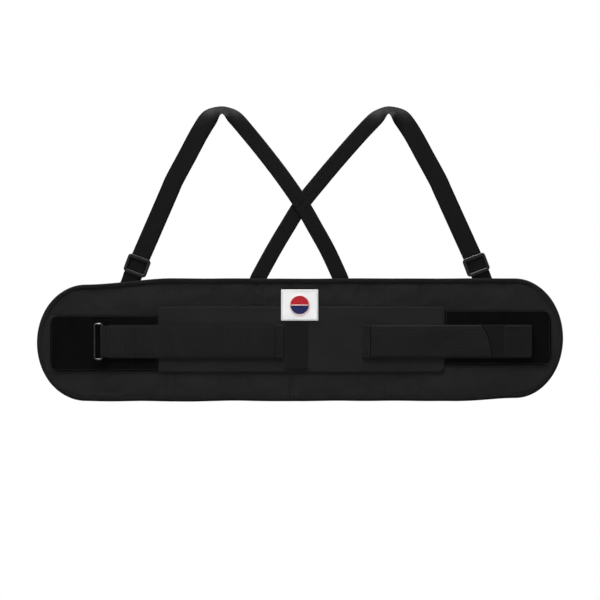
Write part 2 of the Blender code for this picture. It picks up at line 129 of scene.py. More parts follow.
# The webbing turns on edge at the shoulder, by this much at the top and along this length
SHOULDER_TURN, SHOULDER_LENGTH = math.radians(62), 0.022
CROSSING_LIFT = 0.00095
# The turned-up end's width and thickness, and how far up it the cut at its foot is still level
TURNED_SIZE, TURNED_LEVEL = (0.029, 0.0014), 0.012
CROSSING = (0.0025, 0.325)

# Each shoulder strap's route from the belt's back over the shoulder: x, height, lift at the crossing
ROUTES = {
    "left": (
        (0.0660, EDGE_HEIGHT, 0), (0.0460, 0.248, 0.4), (0.0250, 0.286, 1), (*CROSSING, 1),
        (-0.0248, 0.365, 1), (-0.0542, 0.404, 0.3), (-0.0866, 0.444, 0), (-0.1085, 0.4685, 0),
        (-0.1285, 0.4805, 0), (-0.1480, 0.4690, 0), (-0.1650, 0.444, 0), (-0.1864, 0.404, 0),
    ),
    "right": (
        (-0.0680, EDGE_HEIGHT, 0), (-0.0445, 0.248, 0.4), (-0.0220, 0.286, 1), (*CROSSING, 1),
        (0.0346, 0.365, 1), (0.0676, 0.404, 0.3), (0.1031, 0.444, 0), (0.1275, 0.4685, 0),
        (0.1460, 0.4805, 0), (0.1655, 0.4690, 0), (0.1840, 0.444, 0), (0.2062, 0.404, 0),
    ),
}
LEGS = {"left": (-0.2769, math.radians(23.5), -1), "right": (0.2998, math.radians(24.35), 1)}


def length(name, description, default, least, most, precision=4):
    return FloatProperty(
        name=name, description=description, default=default, min=least, max=most,
        unit="LENGTH", precision=precision)


class BeltSizes(PropertyGroup):
    front_puff: length("Front puff", "How far the outer cloth stands out between its seams", 0.0009, 0, 0.002)
    lining_puff: length("Lining puff", "How far the lining stands out between its seams", 0.0022, 0, 0.005)
    edge_wave: length("Edge wave", "How far the sewn edges wander from a straight line", 0.0008, 0, 0.003)
    stitch: length("Stitch", "Distance from one stitch to the next", 0.0031, 0.002, 0.006)
    thread: length("Thread", "Radius of the sewing thread", 0.00026, 0.0001, 0.0006, 5)
    webbing: length("Webbing thickness", "Thickness of the shoulder webbing", 0.0016, 0.001, 0.003)
    back_width: length("Back width", "Width of the shoulder webbing behind the shoulder", 0.026, 0.02, 0.04)
    front_width: length("Front width", "Width of the shoulder webbing before the shoulder", 0.031, 0.02, 0.04)
    hook_pitch: length("Hook pitch", "Distance from one hook to the next", 0.0021, 0.0012, 0.005)
    frames: IntProperty(
        name="Cloth frames", description="Frames that the cloth simulation runs for", default=20, min=5, max=60)


def tint(name, description, red, green, blue):
    return FloatVectorProperty(
        name=name, description=description, default=(red, green, blue), min=0, max=1, size=3, subtype="COLOR")


class BeltColours(PropertyGroup):
    elastic: tint("Elastic", "Outer panels and the middle band", 0.0130, 0.0130, 0.0133)
    strap: tint("Side straps", "Elastic side straps", 0.0100, 0.0100, 0.0103)
    lining: tint("Lining", "Spacer mesh against the wearer", 0.0330, 0.0330, 0.0345)
    binding: tint("Binding", "Grosgrain tape round the edge", 0.0072, 0.0072, 0.0075)
    pile: tint("Pile", "Looped pile patches", 0.0023, 0.0023, 0.0025)
    hook: tint("Hook tape", "Nylon hook tape", 0.0038, 0.0038, 0.0040)
    tape: tint("Centre tape", "Tape sewn under the label", 0.0050, 0.0050, 0.0052)
    webbing: tint("Webbing", "Shoulder webbing", 0.0029, 0.0029, 0.0031)
    thread: tint("Thread", "Black sewing thread", 0.0180, 0.0180, 0.0185)
    label: tint("Label", "Woven label", 0.82, 0.82, 0.82)
    emblem_upper: tint("Emblem upper half", "Thread of the emblem's upper half", 0.58, 0.018, 0.030)
    emblem_lower: tint("Emblem lower half", "Thread of the emblem's lower half", 0.012, 0.022, 0.115)
    emblem_line: tint("Emblem line", "Thread of the emblem's stripe and border", 0.80, 0.62, 0.60)
    stay: tint("Stays", "Moulded stays inside their pockets", 0.42, 0.42, 0.40)
    moulded: tint("Adjusters", "Moulded strap adjusters", 0.0050, 0.0050, 0.0053)
    floor: tint("Floor", "Studio floor", 0.86, 0.86, 0.86)
    ring: tint("Ring", "Painted wire ring", 0.020, 0.020, 0.021)


class BeltStage(PropertyGroup):
    lens: FloatProperty(name="Lens", description="Focal length of the camera", default=200, min=35, max=400)
    field: length("Field", "Width that the camera sees at the belt", 0.990, 0.5, 3)
    key: FloatProperty(
        name="Key light", description="Power that each light takes a share of",
        default=330, min=0, max=2000, unit="POWER")
    floor_drop: length("Floor drop", "Distance from the belt down to the floor", 1.15, 0.2, 5)
    floor_reach: length("Floor radius", "Radius of the floor", 1.5, 0.5, 10)
    ambient: FloatProperty(
        name="Ambient", description="Strength of the light from all round", default=0.18, min=0, max=2)


def sizes():
    return bpy.context.scene.belt_sizes


def colour(name):
    return (*getattr(bpy.context.scene.belt_colours, name), 1)


OBJECT_COORDINATES = 3


class Value:
    """A socket of a material, on which sums can be written. Each sum adds its Math node."""

    def __init__(self, paint, socket):
        self.paint = paint
        self.socket = socket

    def __add__(self, other):
        return self.paint.maths("ADD", self, other)

    def __radd__(self, other):
        return self.paint.maths("ADD", other, self)

    def __sub__(self, other):
        return self.paint.maths("SUBTRACT", self, other)

    def __rsub__(self, other):
        return self.paint.maths("SUBTRACT", other, self)

    def __mul__(self, other):
        return self.paint.maths("MULTIPLY", self, other)


class Nodes:
    """A node tree that is being laid out."""

    def __init__(self, tree):
        self.tree = tree

    def node(self, kind, settings=(), sockets=(), out=0):
        """Adds a node: its settings first, then the values or links of its sockets."""
        made = self.tree.nodes.new(kind)
        for name, value in dict(settings).items():
            setattr(made, name, value)
        for name, value in dict(sockets).items():
            self.feed(made.inputs[name], value)
        return Value(self, made.outputs[out])

    def feed(self, socket, value):
        """Links a value to a socket, or sets the socket to it."""
        if isinstance(value, Value):
            self.tree.links.new(value.socket, socket)
        else:
            socket.default_value = value


def toned(tone, share):
    """A colour made darker or lighter by share."""
    return tuple(min(1.0, part * share) for part in tone[:3]) + (1,)


class Paint(Nodes):
    """A material whose nodes are being laid out. fixed sets the shader's own sockets."""

    def __init__(self, name, fixed=(), from_place=False):
        self.material = bpy.data.materials.new(name)
        self.material.use_nodes = True
        super().__init__(self.material.node_tree)
        self.shader = self.tree.nodes["Principled BSDF"]
        for socket, value in dict(fixed).items():
            self.shader.inputs[socket].default_value = value
        if from_place:
            place = self.node("ShaderNodeTexCoord", out=OBJECT_COORDINATES)
            self.place = self.node("ShaderNodeMapping", {}, {"Vector": place, "Rotation": (math.pi / 2, 0, 0)})
        else:
            self.place = self.node("ShaderNodeUVMap", {"uv_map": "Cloth"})
        self.u = self.node("ShaderNodeSeparateXYZ", {}, {0: self.place})
        self.v = Value(self, self.u.socket.node.outputs[1])

    def maths(self, operation, *values):
        return self.node("ShaderNodeMath", {"operation": operation}, dict(enumerate(values)))

    def clamp(self, value):
        return self.node("ShaderNodeMath", {"operation": "ADD", "use_clamp": True}, {0: value, 1: 0.0})

    def wave(self, value, pitch):
        """A smooth ridge every pitch, from 0 to 1."""
        return self.maths("SINE", value * (math.tau / pitch)) * 0.5 + 0.5

    def step(self, value, start, end):
        """0 before start and 1 after end."""
        sockets = {"Value": value, "From Min": start, "From Max": end}
        return self.node("ShaderNodeMapRange", {"interpolation_type": "SMOOTHSTEP"}, sockets)

    def cloud(self, per_metre, detail=3.0, stretch=(1, 1)):
        """Noise with that many features in a metre, drawn out along the cloth by stretch."""
        scale = (per_metre / stretch[0], per_metre / stretch[1], per_metre)
        place = self.node("ShaderNodeVectorMath", {"operation": "MULTIPLY"}, {0: self.place, 1: scale})
        return self.node("ShaderNodeTexNoise", {}, {"Vector": place, "Scale": 1.0, "Detail": detail})

    def mix(self, factor, first, second):
        """A colour between two colours."""
        return self.node("ShaderNodeMix", {"data_type": "RGBA"}, {0: factor, 6: first, 7: second}, 2)

    def shades(self, factor, base, dark, light):
        """The base colour, from dark times itself to light times itself."""
        return self.mix(factor, toned(base, dark), toned(base, light))

    def done(self, base, roughness, height=None, depth=0.0002, strength=1.0):
        self.feed(self.shader.inputs["Base Color"], base)
        self.feed(self.shader.inputs["Roughness"], roughness)
        if height is not None:
            bump = self.node("ShaderNodeBump", {}, {"Strength": strength, "Distance": depth, "Height": height})
            self.feed(self.shader.inputs["Normal"], bump)
        return self.material


MATTE = {"Specular IOR Level": 0.04}


def elastic_cloth(name, tone, cord, pick):
    """Woven elastic: cords along it, crossed by picks that go over one cord and under the next."""
    paint = Paint(name, MATTE)
    cords = paint.wave(paint.v, cord)
    picks = paint.wave(paint.u + paint.step(cords, 0.4, 0.6) * (pick / 2), pick)
    fuzz = paint.cloud(2600, 4.0)
    wear = paint.cloud(24, 3.0, (2.2, 1))
    weave = paint.clamp(cords * 0.55 + picks * 0.30 + fuzz * 0.15)
    tone_share = paint.clamp(weave * 0.6 + wear * 0.55 - 0.1)
    return paint.done(paint.shades(tone_share, tone, 0.55, 1.65), 0.98 - weave * 0.16, weave, cord * 0.28)


def spacer_mesh(name, tone):
    """Spacer mesh: rows of oval holes, every other row shifted by half a hole."""
    paint = Paint(name, MATTE)
    pitch, row = 0.0034, 0.0034 * 0.8
    first = paint.wave(paint.u, pitch) * paint.wave(paint.v, row)
    second = paint.wave(paint.u + pitch / 2, pitch) * paint.wave(paint.v + row / 2, row)
    holes = paint.step(paint.maths("MAXIMUM", first, second), 0.42, 0.70)
    knit = paint.wave(paint.u + paint.v * 0.5, 0.0007)
    wear = paint.cloud(18, 3.0)
    # Inside the holes the colour falls to a quarter: painted shade in the mesh's holes.
    base = paint.mix(holes, paint.shades(knit * 0.5 + wear * 0.5, tone, 0.7, 1.5), toned(tone, 0.25))
    return paint.done(base, 0.9 + holes * 0.08, (1 - holes) + knit * 0.15, 0.0007)


def grosgrain(name, tone, rib):
    """Ribbed tape: close ribs across it."""
    paint = Paint(name, {"Specular IOR Level": 0.06})
    ribs = paint.wave(paint.v, rib)
    fine = paint.wave(paint.u, rib * 0.55)
    dust = paint.cloud(60, 3.0)
    weave = ribs * 0.75 + fine * 0.25
    base = paint.shades(weave * 0.6 + dust * 0.4, tone, 0.5, 1.7)
    return paint.done(base, 0.86 - ribs * 0.16, weave, rib * 0.4)


def looped_pile(name, tone):
    """Looped pile: a mat of small loops brushed in all directions."""
    paint = Paint(name, {"Specular IOR Level": 0.02})
    warp = paint.cloud(420, 2.0)
    loops = paint.node("ShaderNodeTexVoronoi", {"feature": "SMOOTH_F1"}, {
        "Vector": paint.node("ShaderNodeVectorMath", {"operation": "ADD"}, {0: paint.place, 1: warp * 0.0012}),
        "Scale": 900.0})
    brushed = paint.cloud(46, 4.0, (1, 2.5))
    tone_share = paint.clamp(1 - loops * 1.1 + brushed * 0.5 - 0.2)
    return paint.done(paint.shades(tone_share, tone, 0.4, 2.0), 0.97, 1 - loops, 0.0007)


def hook_tape(name, tone):
    """The backing of hook tape: a tight weave with a rib for each row of hooks."""
    paint = Paint(name, {"Specular IOR Level": 0.06})
    rows = paint.wave(paint.v, 0.0021)
    picks = paint.wave(paint.u, 0.0007)
    dust = paint.cloud(90, 3.0)
    weave = rows * 0.7 + picks * 0.3
    base = paint.shades(weave * 0.6 + dust * 0.4, tone, 0.5, 1.8)
    return paint.done(base, 0.66 - rows * 0.12, weave, 0.0004)


def strap_webbing(name, tone):
    """Herringbone webbing with dense dark selvedges."""
    paint = Paint(name, {"Specular IOR Level": 0.09})
    edge = sizes().front_width / 2
    across = paint.maths("ABSOLUTE", paint.u)
    chevron = paint.maths("PINGPONG", paint.u, 0.0026)
    twill = paint.wave(paint.v + chevron * 0.9, 0.00125)
    cords = paint.wave(paint.u, 0.0013)
    selvedge = paint.step(across, edge - 0.0030, edge - 0.0014)
    wear = paint.cloud(70, 4.0, (1, 4))
    weave = paint.clamp(twill * 0.5 + cords * 0.5)
    middle_tone = paint.shades(paint.clamp(weave * 0.65 + wear * 0.5 - 0.08), tone, 0.55, 1.8)
    base = paint.mix(selvedge, middle_tone, toned(tone, 0.22))
    return paint.done(base, 0.66 + selvedge * 0.20 - weave * 0.10, weave, 0.00014)


def woven_label(name, tone):
    """Satin label cloth: fine close picks with a faint sheen."""
    paint = Paint(name, {"Specular IOR Level": 0.2})
    picks = paint.wave(paint.v, 0.00042)
    warp = paint.wave(paint.u + paint.v * 0.3, 0.0006)
    # Painted shade and light of soft creases: long soft blobs make the colour darker and lighter in turn.
    crease_shade = paint.cloud(40, 3.0, (3, 1))
    weave = picks * 0.6 + warp * 0.4
    base = paint.shades(weave * 0.35 + crease_shade * 0.65, tone, 0.86, 1.08)
    return paint.done(base, 0.72 - weave * 0.12, weave, 0.00015)


def sewing_thread(name, tone, gloss=0.12):
    """Twisted thread: its plies turn round it."""
    paint = Paint(name, {"Specular IOR Level": gloss})
    plies = paint.wave(paint.u + paint.v * 1.6, 0.00055)
    shade = paint.cloud(300, 2.0)
    base = paint.shades(plies * 0.7 + shade * 0.3, tone, 0.6, 1.25)
    return paint.done(base, 0.62 - plies * 0.14, plies, 0.00012)


def moulded_plastic(name, tone, grain, from_place=False):
    """Moulded plastic with a fine spark-eroded grain and rubbed high spots."""
    paint = Paint(name, {"Specular IOR Level": 0.40}, from_place)
    pits = paint.cloud(grain, 3.0)
    rubbed = paint.cloud(140, 4.0, (1, 3))
    base = paint.shades(rubbed * 0.7 + pits * 0.3, tone, 0.7, 1.5)
    return paint.done(base, 0.24 + rubbed * 0.22 + pits * 0.08, pits, 0.00006, 0.5)


def painted_wire(name, tone):
    """Black painted steel wire, worn to brighter metal in small spots."""
    paint = Paint(name, {"Specular IOR Level": 0.6})
    chips = paint.step(paint.cloud(420, 5.0, (1, 4)), 0.60, 0.70)
    flow = paint.cloud(160, 3.0)
    paint.feed(paint.shader.inputs["Metallic"], chips * 0.7 + 0.25)
    base = paint.mix(chips, paint.shades(flow, tone, 0.8, 1.3), toned(tone, 9))
    return paint.done(base, 0.22 + flow * 0.20, flow, 0.00008)


def studio_floor(name, tone):
    """Pale matt floor with a very faint mottle."""
    paint = Paint(name, {"Specular IOR Level": 0.1}, True)
    return paint.done(paint.shades(paint.cloud(3, 2.0), tone, 0.98, 1.02), 0.9)


# Each material by its short name: its full name, its finish, its colour, and what else the finish is told
FINISHES = {
    "elastic": ("panel_elastic", elastic_cloth, "elastic", 0.0017, 0.0011),
    "strap": ("strap_elastic", elastic_cloth, "strap", 0.0023, 0.0012),
    "lining": ("lining_mesh", spacer_mesh, "lining"),
    "binding": ("binding_tape", grosgrain, "binding", 0.0011),
    "tape": ("centre_tape_cloth", grosgrain, "tape", 0.0014),
    "pile": ("looped_pile", looped_pile, "pile"),
    "hook": ("hook_tape", hook_tape, "hook"),
    "hooks": ("hook_nylon", moulded_plastic, "hook", 4000),
    "webbing": ("shoulder_webbing", strap_webbing, "webbing"),
    "label": ("label_satin", woven_label, "label"),
    "thread": ("black_thread", sewing_thread, "thread"),
    "label_thread": ("label_thread", sewing_thread, "pile"),
    "emblem_upper": ("emblem_upper_thread", sewing_thread, "emblem_upper", 0.25),
    "emblem_lower": ("emblem_lower_thread", sewing_thread, "emblem_lower", 0.25),
    "emblem_line": ("emblem_line_thread", sewing_thread, "emblem_line", 0.25),
    "stay": ("stay_plastic", moulded_plastic, "stay", 700, True),
    "moulded": ("adjuster_plastic", moulded_plastic, "moulded", 2200),
    "ring": ("painted_wire", painted_wire, "ring"),
    "floor": ("studio_floor", studio_floor, "floor"),
}
MADE = {}


def stuff(name):
    """The material of that short name, made when it is first asked for."""
    if name not in MADE:
        whole_name, finish, tone, *more = FINISHES[name]
        MADE[name] = finish(whole_name, colour(tone), *more)
    return MADE[name]


def dress(piece, slot, *nodes):
    """The piece stands for those CAD nodes, which are hidden. slot is not used."""
    if nodes:
        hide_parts(*nodes)
    return piece


def settle(piece, body, slot, *nodes):
    """The piece moves with a body, and is dressed."""
    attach(piece, body)
    return dress(piece, slot, *nodes)


def across_fold(piece, hand, slot, *nodes):
    """The piece crosses a fold line between the middle of the belt and its end; its transform is baked into its
    mesh, and it is dressed.
    """
    end = "left_end" if hand < 0 else "right_end"
    start, finish = hand * (FOLD_X - FOLD_BEFORE), hand * (FOLD_X + FOLD_AFTER)
    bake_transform(piece)
    return dress(piece, slot, *nodes)


def smooth(value):
    value = np.clip(value, 0.0, 1.0)
    return value * value * (3 - 2 * value)


def sway(values, per_metre, seed, other):
    """Noise along a line, with that many features in a metre. seed and other pick one line from the noise."""
    return np.array([noise.noise(Vector((value * per_metre, seed, other))) for value in values])


def wander(x, seed):
    """A slow wave along x between about -1 and 1, for sewn edges."""
    return sway(x, 14.0, seed, 0.5) * 1.6


def edges(x):
    """Height of the belt's bottom and top edge at each x, ends included."""
    x = np.asarray(x, float)
    top = TOP - DROOP * smooth((-x - DROOP_FROM) / (SHOULDER - DROOP_FROM))
    bottom = BOTTOM + RISE * smooth((x - RISE_FROM) / (SHOULDER - RISE_FROM))
    past = np.clip((np.abs(x) - SHOULDER) / END_REACH, 0, 1)
    share = np.sqrt(1 - past**2)
    centre, half = (top + bottom) / 2, (top - bottom) / 2 * share
    calm = smooth((HALF_LENGTH - np.abs(x)) / 0.05)
    wave = sizes().edge_wave * calm
    return centre - half + wave * wander(x, 3.0), centre + half - wave * (1 + wander(x, 7.0)) / 2


def stations(keys, step):
    """Values that pass through every key, from the first to the last, no further apart than step."""
    keys = sorted(keys)
    found = []
    for a, b in zip(keys, keys[1:]):
        count = max(1, math.ceil((b - a) / step - 1e-6))
        found += [a + (b - a) * k / count for k in range(count)]
    return np.array(found + [keys[-1]])


def lay_cloth(mesh, flat):
    """Gives the mesh its flat coordinates, two for each vertex."""
    layer = mesh.uv_layers.new(name="Cloth")
    corner = np.zeros(len(mesh.loops), np.int32)
    mesh.loops.foreach_get("vertex_index", corner)
    layer.data.foreach_set("uv", flat[corner].astype(np.float32).ravel())


def show(name, data):
    """A new object of the scene with that mesh, light or camera."""
    made = bpy.data.objects.new(name, data)
    bpy.context.scene.collection.objects.link(made)
    return made


def skin(name, rings, cloth, material, closed=False):
    """A closed mesh over rings of points. rings is (tubes, rings, points, 3) and cloth the same with 2.

    A ring goes along one face and back along the other, so an end is filled by strips across the ring."""
    rings, cloth = np.asarray(rings, float), np.asarray(cloth, float)
    if rings.ndim == 3:
        rings, cloth = rings[None], cloth[None]
    tubes, count, around = rings.shape[:3]
    index = np.arange(count * around).reshape(count, around)
    loop = np.vstack([index, index[:1]]) if closed else index
    corners = (loop[:-1], loop[1:], np.roll(loop[1:], -1, 1), np.roll(loop[:-1], -1, 1))
    quads = np.stack(corners, -1).reshape(-1, 4)
    if not closed:
        k = np.arange(around // 2 - 1)
        for ring, turn in ((index[0], 1), (index[-1], -1)):
            cap = np.stack([ring[k], ring[k + 1], ring[around - 2 - k], ring[around - 1 - k]], -1)
            quads = np.vstack([quads, cap[:, ::turn]])
    points = rings.reshape(tubes, -1, 3)
    a, b, c, d = (points[:, quads[:, k]] - points.mean(1, keepdims=True) for k in range(4))
    volume = (a * (np.cross(b, c) + np.cross(c, d))).sum((1, 2))
    all_quads = [(quads if inside > 0 else quads[:, ::-1]) + tube * count * around
                 for tube, inside in enumerate(volume)]
    mesh = bpy.data.meshes.new(name)
    mesh.from_pydata(points.reshape(-1, 3).tolist(), [], np.vstack(all_quads).tolist())
    lay_cloth(mesh, cloth.reshape(-1, 2))
    mesh.shade_smooth()
    mesh.set_sharp_from_angle(angle=CREASE)
    mesh.materials.append(stuff(material))
    return show(name, mesh)


def finer(piece):
    """One level of subdivision over a finished mesh."""
    modifier = piece.modifiers.new("finer", "SUBSURF")
    modifier.levels = 1
    modifier.render_levels = 1
    return piece


def between_faces(front, back):
    """Rings that run up the front face and down the back face of a sheet of points (columns, rows, 3)."""
    return np.concatenate([front, back[:, ::-1]], 1)


def shell(name, front, back, material):
    """A sheet of cloth with a front and a back face, both (columns, rows, 3)."""
    return skin(name, between_faces(front, back), between_faces(front, back)[..., ::2], material)


def fall(distance, reach, rim=0.35):
    """How full the cloth is at that distance from its border: rim at the border, 1 from reach on."""
    return rim + (1 - rim) * np.sqrt(np.clip(1 - (1 - np.clip(distance / reach, 0, 1)) ** 2, 0, 1))


def patch(name, box, layer, material, radii=(0, 0, 0, 0), relief=None, step=MESH_STEP, sides_at=None):
    """A flat sewn-on piece. box is left, right, bottom, top, layer its front and back y.

    radii are the corners' from bottom left anticlockwise. relief(x, z) is how far the front stands out,
    and sides_at(z) gives the left and right edge at a height where they aren't straight."""
    left, right, bottom, top = box
    keys = [bottom, top, bottom + HEM, top - HEM]
    for k, radius in enumerate(radii):
        edge, into = (bottom, 1) if k < 2 else (top, -1)
        if radius:
            keys += [edge + into * radius * (1 - math.cos(turn)) for turn in np.radians((20, 40, 60, 75, 90))]
    z = stations(set(round(key, 7) for key in keys), step)
    rims = np.array(sides_at(z)) if sides_at else np.array([np.full(len(z), left), np.full(len(z), right)])
    for k, radius in enumerate(radii):
        side, into_x = ((0, 1), (1, -1), (1, -1), (0, 1))[k]
        into = z - bottom if k < 2 else top - z
        short = np.clip(radius - into, 0, radius)
        rims[side] += into_x * (radius - np.sqrt(np.clip(radius**2 - short**2, 0, None)))
    wide = right - left
    share = stations([0, HEM / wide, 1 - HEM / wide, 1], step / wide)
    x = rims[0] + (rims[1] - rims[0]) * share[:, None]
    height = np.broadcast_to(z, x.shape)
    border = np.minimum.reduce([x - rims[0], rims[1] - x, height - bottom, top - height])
    front_y, back_y = layer
    stand = (back_y - front_y) * fall(border, 0.0012)
    if relief:
        stand = stand + relief(x, height) * smooth(border / 0.004)
    front = np.stack([x, back_y - stand, height], -1)
    back = np.stack([x, np.full(x.shape, back_y), height], -1)
    return shell(name, front, back, material)


def inflated(grid, pinned, outward, cap, slack):
    """A sheet of points sewn down where it is pinned, blown outwards along Y as cloth.

    It is cut larger than its place by slack, so it puckers, and no point moves further than cap."""
    scene = bpy.context.scene
    columns, rows = grid.shape[:2]
    index = np.arange(columns * rows).reshape(columns, rows)
    quads = np.stack([index[:-1, :-1], index[1:, :-1], index[1:, 1:], index[:-1, 1:]], -1).reshape(-1, 4)
    mesh = bpy.data.meshes.new("cloth")
    mesh.from_pydata(grid.reshape(-1, 3).tolist(), [], quads[:, ::-1 if outward > 0 else 1].tolist())
    cloth = show("cloth", mesh)
    cloth.vertex_groups.new(name="seams").add(np.flatnonzero(pinned.ravel()).tolist(), 1.0, "REPLACE")
    modifier = cloth.modifiers.new("cloth", "CLOTH")
    settings = modifier.settings
    settings.vertex_group_mass = "seams"
    settings.use_pressure = True
    settings.uniform_pressure_force = 4.0
    settings.shrink_min = -slack
    settings.bending_stiffness = 0.2
    settings.effector_weights.gravity = 0
    modifier.point_cache.frame_end = sizes().frames
    for number in range(1, sizes().frames + 1):
        scene.frame_set(number)
    settled = cloth.evaluated_get(bpy.context.evaluated_depsgraph_get()).data
    blown = np.zeros(len(settled.vertices) * 3, np.float32)
    settled.vertices.foreach_get("co", blown)
    scene.frame_set(1)
    bpy.data.objects.remove(cloth)
    move = blown.reshape(grid.shape).astype(float) - grid
    move[pinned] = 0
    reach = np.linalg.norm(move, axis=2)
    full = np.percentile(reach[~pinned], FULLEST)
    move *= (cap / full * np.minimum(1, full / np.maximum(reach, 1e-9)))[..., None]
    return grid + move


def flat_section(width, thickness):
    """Half-rings of a flat strap: places across it and half its thickness there, thinner at the selvedges."""
    across = -np.cos(np.linspace(0, math.pi, 9)) * 0.5 * width
    half = thickness / 2 * (0.42 + 0.58 * (1 - (2 * np.abs(across) / width) ** 10) ** 0.5)
    return across, half


def strip(name, centres, across, out, widths, thicknesses, material):
    """A strap swept along its centres, with the way across it, the way out of it and its two sizes at each."""
    rings, cloth = [], []
    stops = zip(centres, across, out, widths, thicknesses, lengths(centres))
    for centre, side, normal, width, thick, gone in stops:
        places, half = flat_section(width, thick)
        flat, lift = centre + np.outer(places, side), np.outer(half, normal)
        rings.append(np.vstack([flat + lift, (flat - lift)[::-1]]))
        flat = np.stack([places, np.full(len(places), gone)], -1)
        cloth.append(np.vstack([flat, flat[::-1]]))
    return skin(name, rings, cloth, material)


def lengths(points):
    """Distance travelled along a line of points at each point."""
    points = np.asarray(points, float)
    return np.concatenate([[0], np.cumsum(np.linalg.norm(np.diff(points, axis=0), axis=1))])


def directions(points):
    """The unit direction of a line at each of its points."""
    along = np.gradient(np.asarray(points, float), axis=0)
    return along / np.linalg.norm(along, axis=1, keepdims=True)


def curve(points, step):
    """A smooth line through the points, with a point about every step."""
    points = np.asarray(points, float)
    padded = np.vstack([points[:1], points, points[-1:]])
    line = []
    for k in range(len(points) - 1):
        a, b, c, d = padded[k:k + 4]
        count = max(2, math.ceil(np.linalg.norm(c - b) / step))
        for t in np.arange(count) / count:
            pull = (c - a) * t + (2 * a - 5 * b + 4 * c - d) * t**2 + (3 * b - a - 3 * c + d) * t**3
            line.append(b + pull / 2)
    return np.array(line + [points[-1]])


def beads(starts, ends, out, radius, rise, share=1.0, tip=0.45):
    """Short lengths of thread from starts to ends, sunk at both tips and humped by rise in the middle.

    tip is how thick a tip is, as a share of the middle."""
    starts, ends = np.asarray(starts, float), np.asarray(ends, float)
    out = np.broadcast_to(np.asarray(out, float), starts.shape)
    t = np.linspace(0, 1, 5)
    along = ends - starts
    side = np.cross(along, out)
    side /= np.maximum(np.linalg.norm(side, axis=-1, keepdims=True), 1e-12)
    hump = np.sin(math.pi * t) * (rise + radius) - radius
    centre = starts[:, None] + along[:, None] * (0.5 + (t - 0.5) * share)[None, :, None]
    centre = centre + out[:, None] * hump[None, :, None]
    turns = np.arange(6) / 6 * math.tau
    thick = radius * (tip + (1 - tip) * np.sin(math.pi * t))[None, :, None, None]
    ring = np.cos(turns)[:, None] * side[:, None, None] + np.sin(turns)[:, None] * out[:, None, None]
    rings = centre[:, :, None] + ring * thick
    long = np.linalg.norm(along, axis=-1)[:, None, None] * t[None, :, None]
    cloth = np.stack(np.broadcast_arrays(turns[None, None] * radius, long), -1)
    return rings, cloth


def sew(name, runs, material, pitch=None, radius=None):
    """Rows of stitches. A run is a line of points on the cloth and the way that the cloth faces there."""
    pitch = pitch or sizes().stitch
    radius = radius or sizes().thread
    rings, cloth = [], []
    for line, out in runs:
        line = np.asarray(line, float)
        gone = lengths(line)
        count = max(1, round(gone[-1] / pitch))
        marks = np.linspace(0, gone[-1], count + 1)
        places = np.stack([np.interp(marks, gone, line[:, axis]) for axis in range(3)], -1)
        made = beads(places[:-1], places[1:], out, radius, radius * 0.4, 0.80)
        rings.append(made[0])
        cloth.append(made[1])
    return skin(name, np.concatenate(rings), np.concatenate(cloth), material)


def rounded_section(exponent):
    """Sixteen turns round a section, and its points there: a circle at 2 and squarer above."""
    turns = (np.arange(16) + 0.5) / 16 * math.tau
    around = np.stack([np.cos(turns), np.sin(turns)], -1)
    return turns, around / (np.abs(around) ** exponent).sum(-1, keepdims=True) ** (1 / exponent)


def hoop(box, radius, y, half_wide, half_deep, exponent=2.0):
    """Rings round a rounded rectangle that faces the front, their flat coordinates and the line they follow."""
    left, right, bottom, top = box
    path = []
    for k, (x, z) in enumerate(((left, bottom), (right, bottom), (right, top), (left, top))):
        hub = (x + (radius if x == left else -radius), z + (radius if z == bottom else -radius))
        for turn in np.radians(180 + 90 * k + np.linspace(0, 90, 9)):
            path.append((hub[0] + radius * math.cos(turn), y, hub[1] + radius * math.sin(turn)))
    dense = []
    for a, b in zip(np.array(path), np.roll(path, -1, 0)):
        count = max(1, round(float(np.linalg.norm(b - a)) / 0.003))
        dense += [a + (b - a) * k / count for k in range(count)]
    path = np.array(dense)
    along = np.roll(path, -1, 0) - np.roll(path, 1, 0)
    along /= np.linalg.norm(along, axis=1, keepdims=True)
    side = np.cross(along, FRONT)
    turns, around = rounded_section(exponent)
    ring = around[None, :, :1] * side[:, None] * half_wide + around[None, :, 1:] * FRONT * half_deep
    cloth = np.stack(np.broadcast_arrays(turns[None] * half_wide, lengths(path)[:, None]), -1)
    return path[:, None] + ring, cloth, path


def level(x0, x1, z, y):
    """A line along X."""
    count = max(2, math.ceil(abs(x1 - x0) / 0.01))
    return [(x, y, z) for x in np.linspace(x0, x1, count)]


def upright(x, z0, z1, y):
    """A line along Z."""
    return [(x, y, z) for z in np.linspace(z0, z1, 4)]


def crossed_box(box, y):
    """The box with a cross in it that holds a strap's sewn end."""
    left, right, bottom, top = box
    lines = [
        level(left, right, bottom, y), level(left, right, top, y),
        upright(left, bottom, top, y), upright(right, bottom, top, y),
        [(left, y, bottom), (right, y, top)], [(left, y, top), (right, y, bottom)],
    ]
    return [(line, FRONT) for line in lines]


def outline(box, inset, y, out):
    """A row of stitches round a box, moved in by inset."""
    left, right, bottom, top = box
    a, b, c, d = left + inset, right - inset, bottom + inset, top - inset
    lines = level(a, b, c, y), level(a, b, d, y), upright(a, c, d, y), upright(b, c, d, y)
    return [(line, out) for line in lines]


def within(box, x, z, margin):
    """Which points lie in a box that is made larger all round by margin."""
    left, right, bottom, top = box
    inside_x = (x > left - margin) & (x < right + margin)
    return inside_x & (z > bottom - margin) & (z < top + margin)


LEFT_PILE = (low("left_pile_outer").x, high("left_pile_inner").x, *sides("left_pile_inner")[2:])
RIGHT_PILE = (low("right_pile_inner").x, high("right_pile_outer").x, *sides("right_pile_inner")[2:])
SEAM_ALLOWANCE, SEAM_LAP = 0.0010, 0.0005
# Cloth is held down this near to a pocket seam, and under the edge tape
SEAM_HOLD, TAPE_HOLD = 0.0006, 0.0075
# How far cloth is held down beyond a patch that is sewn over it
PATCH_HOLD = 0.003


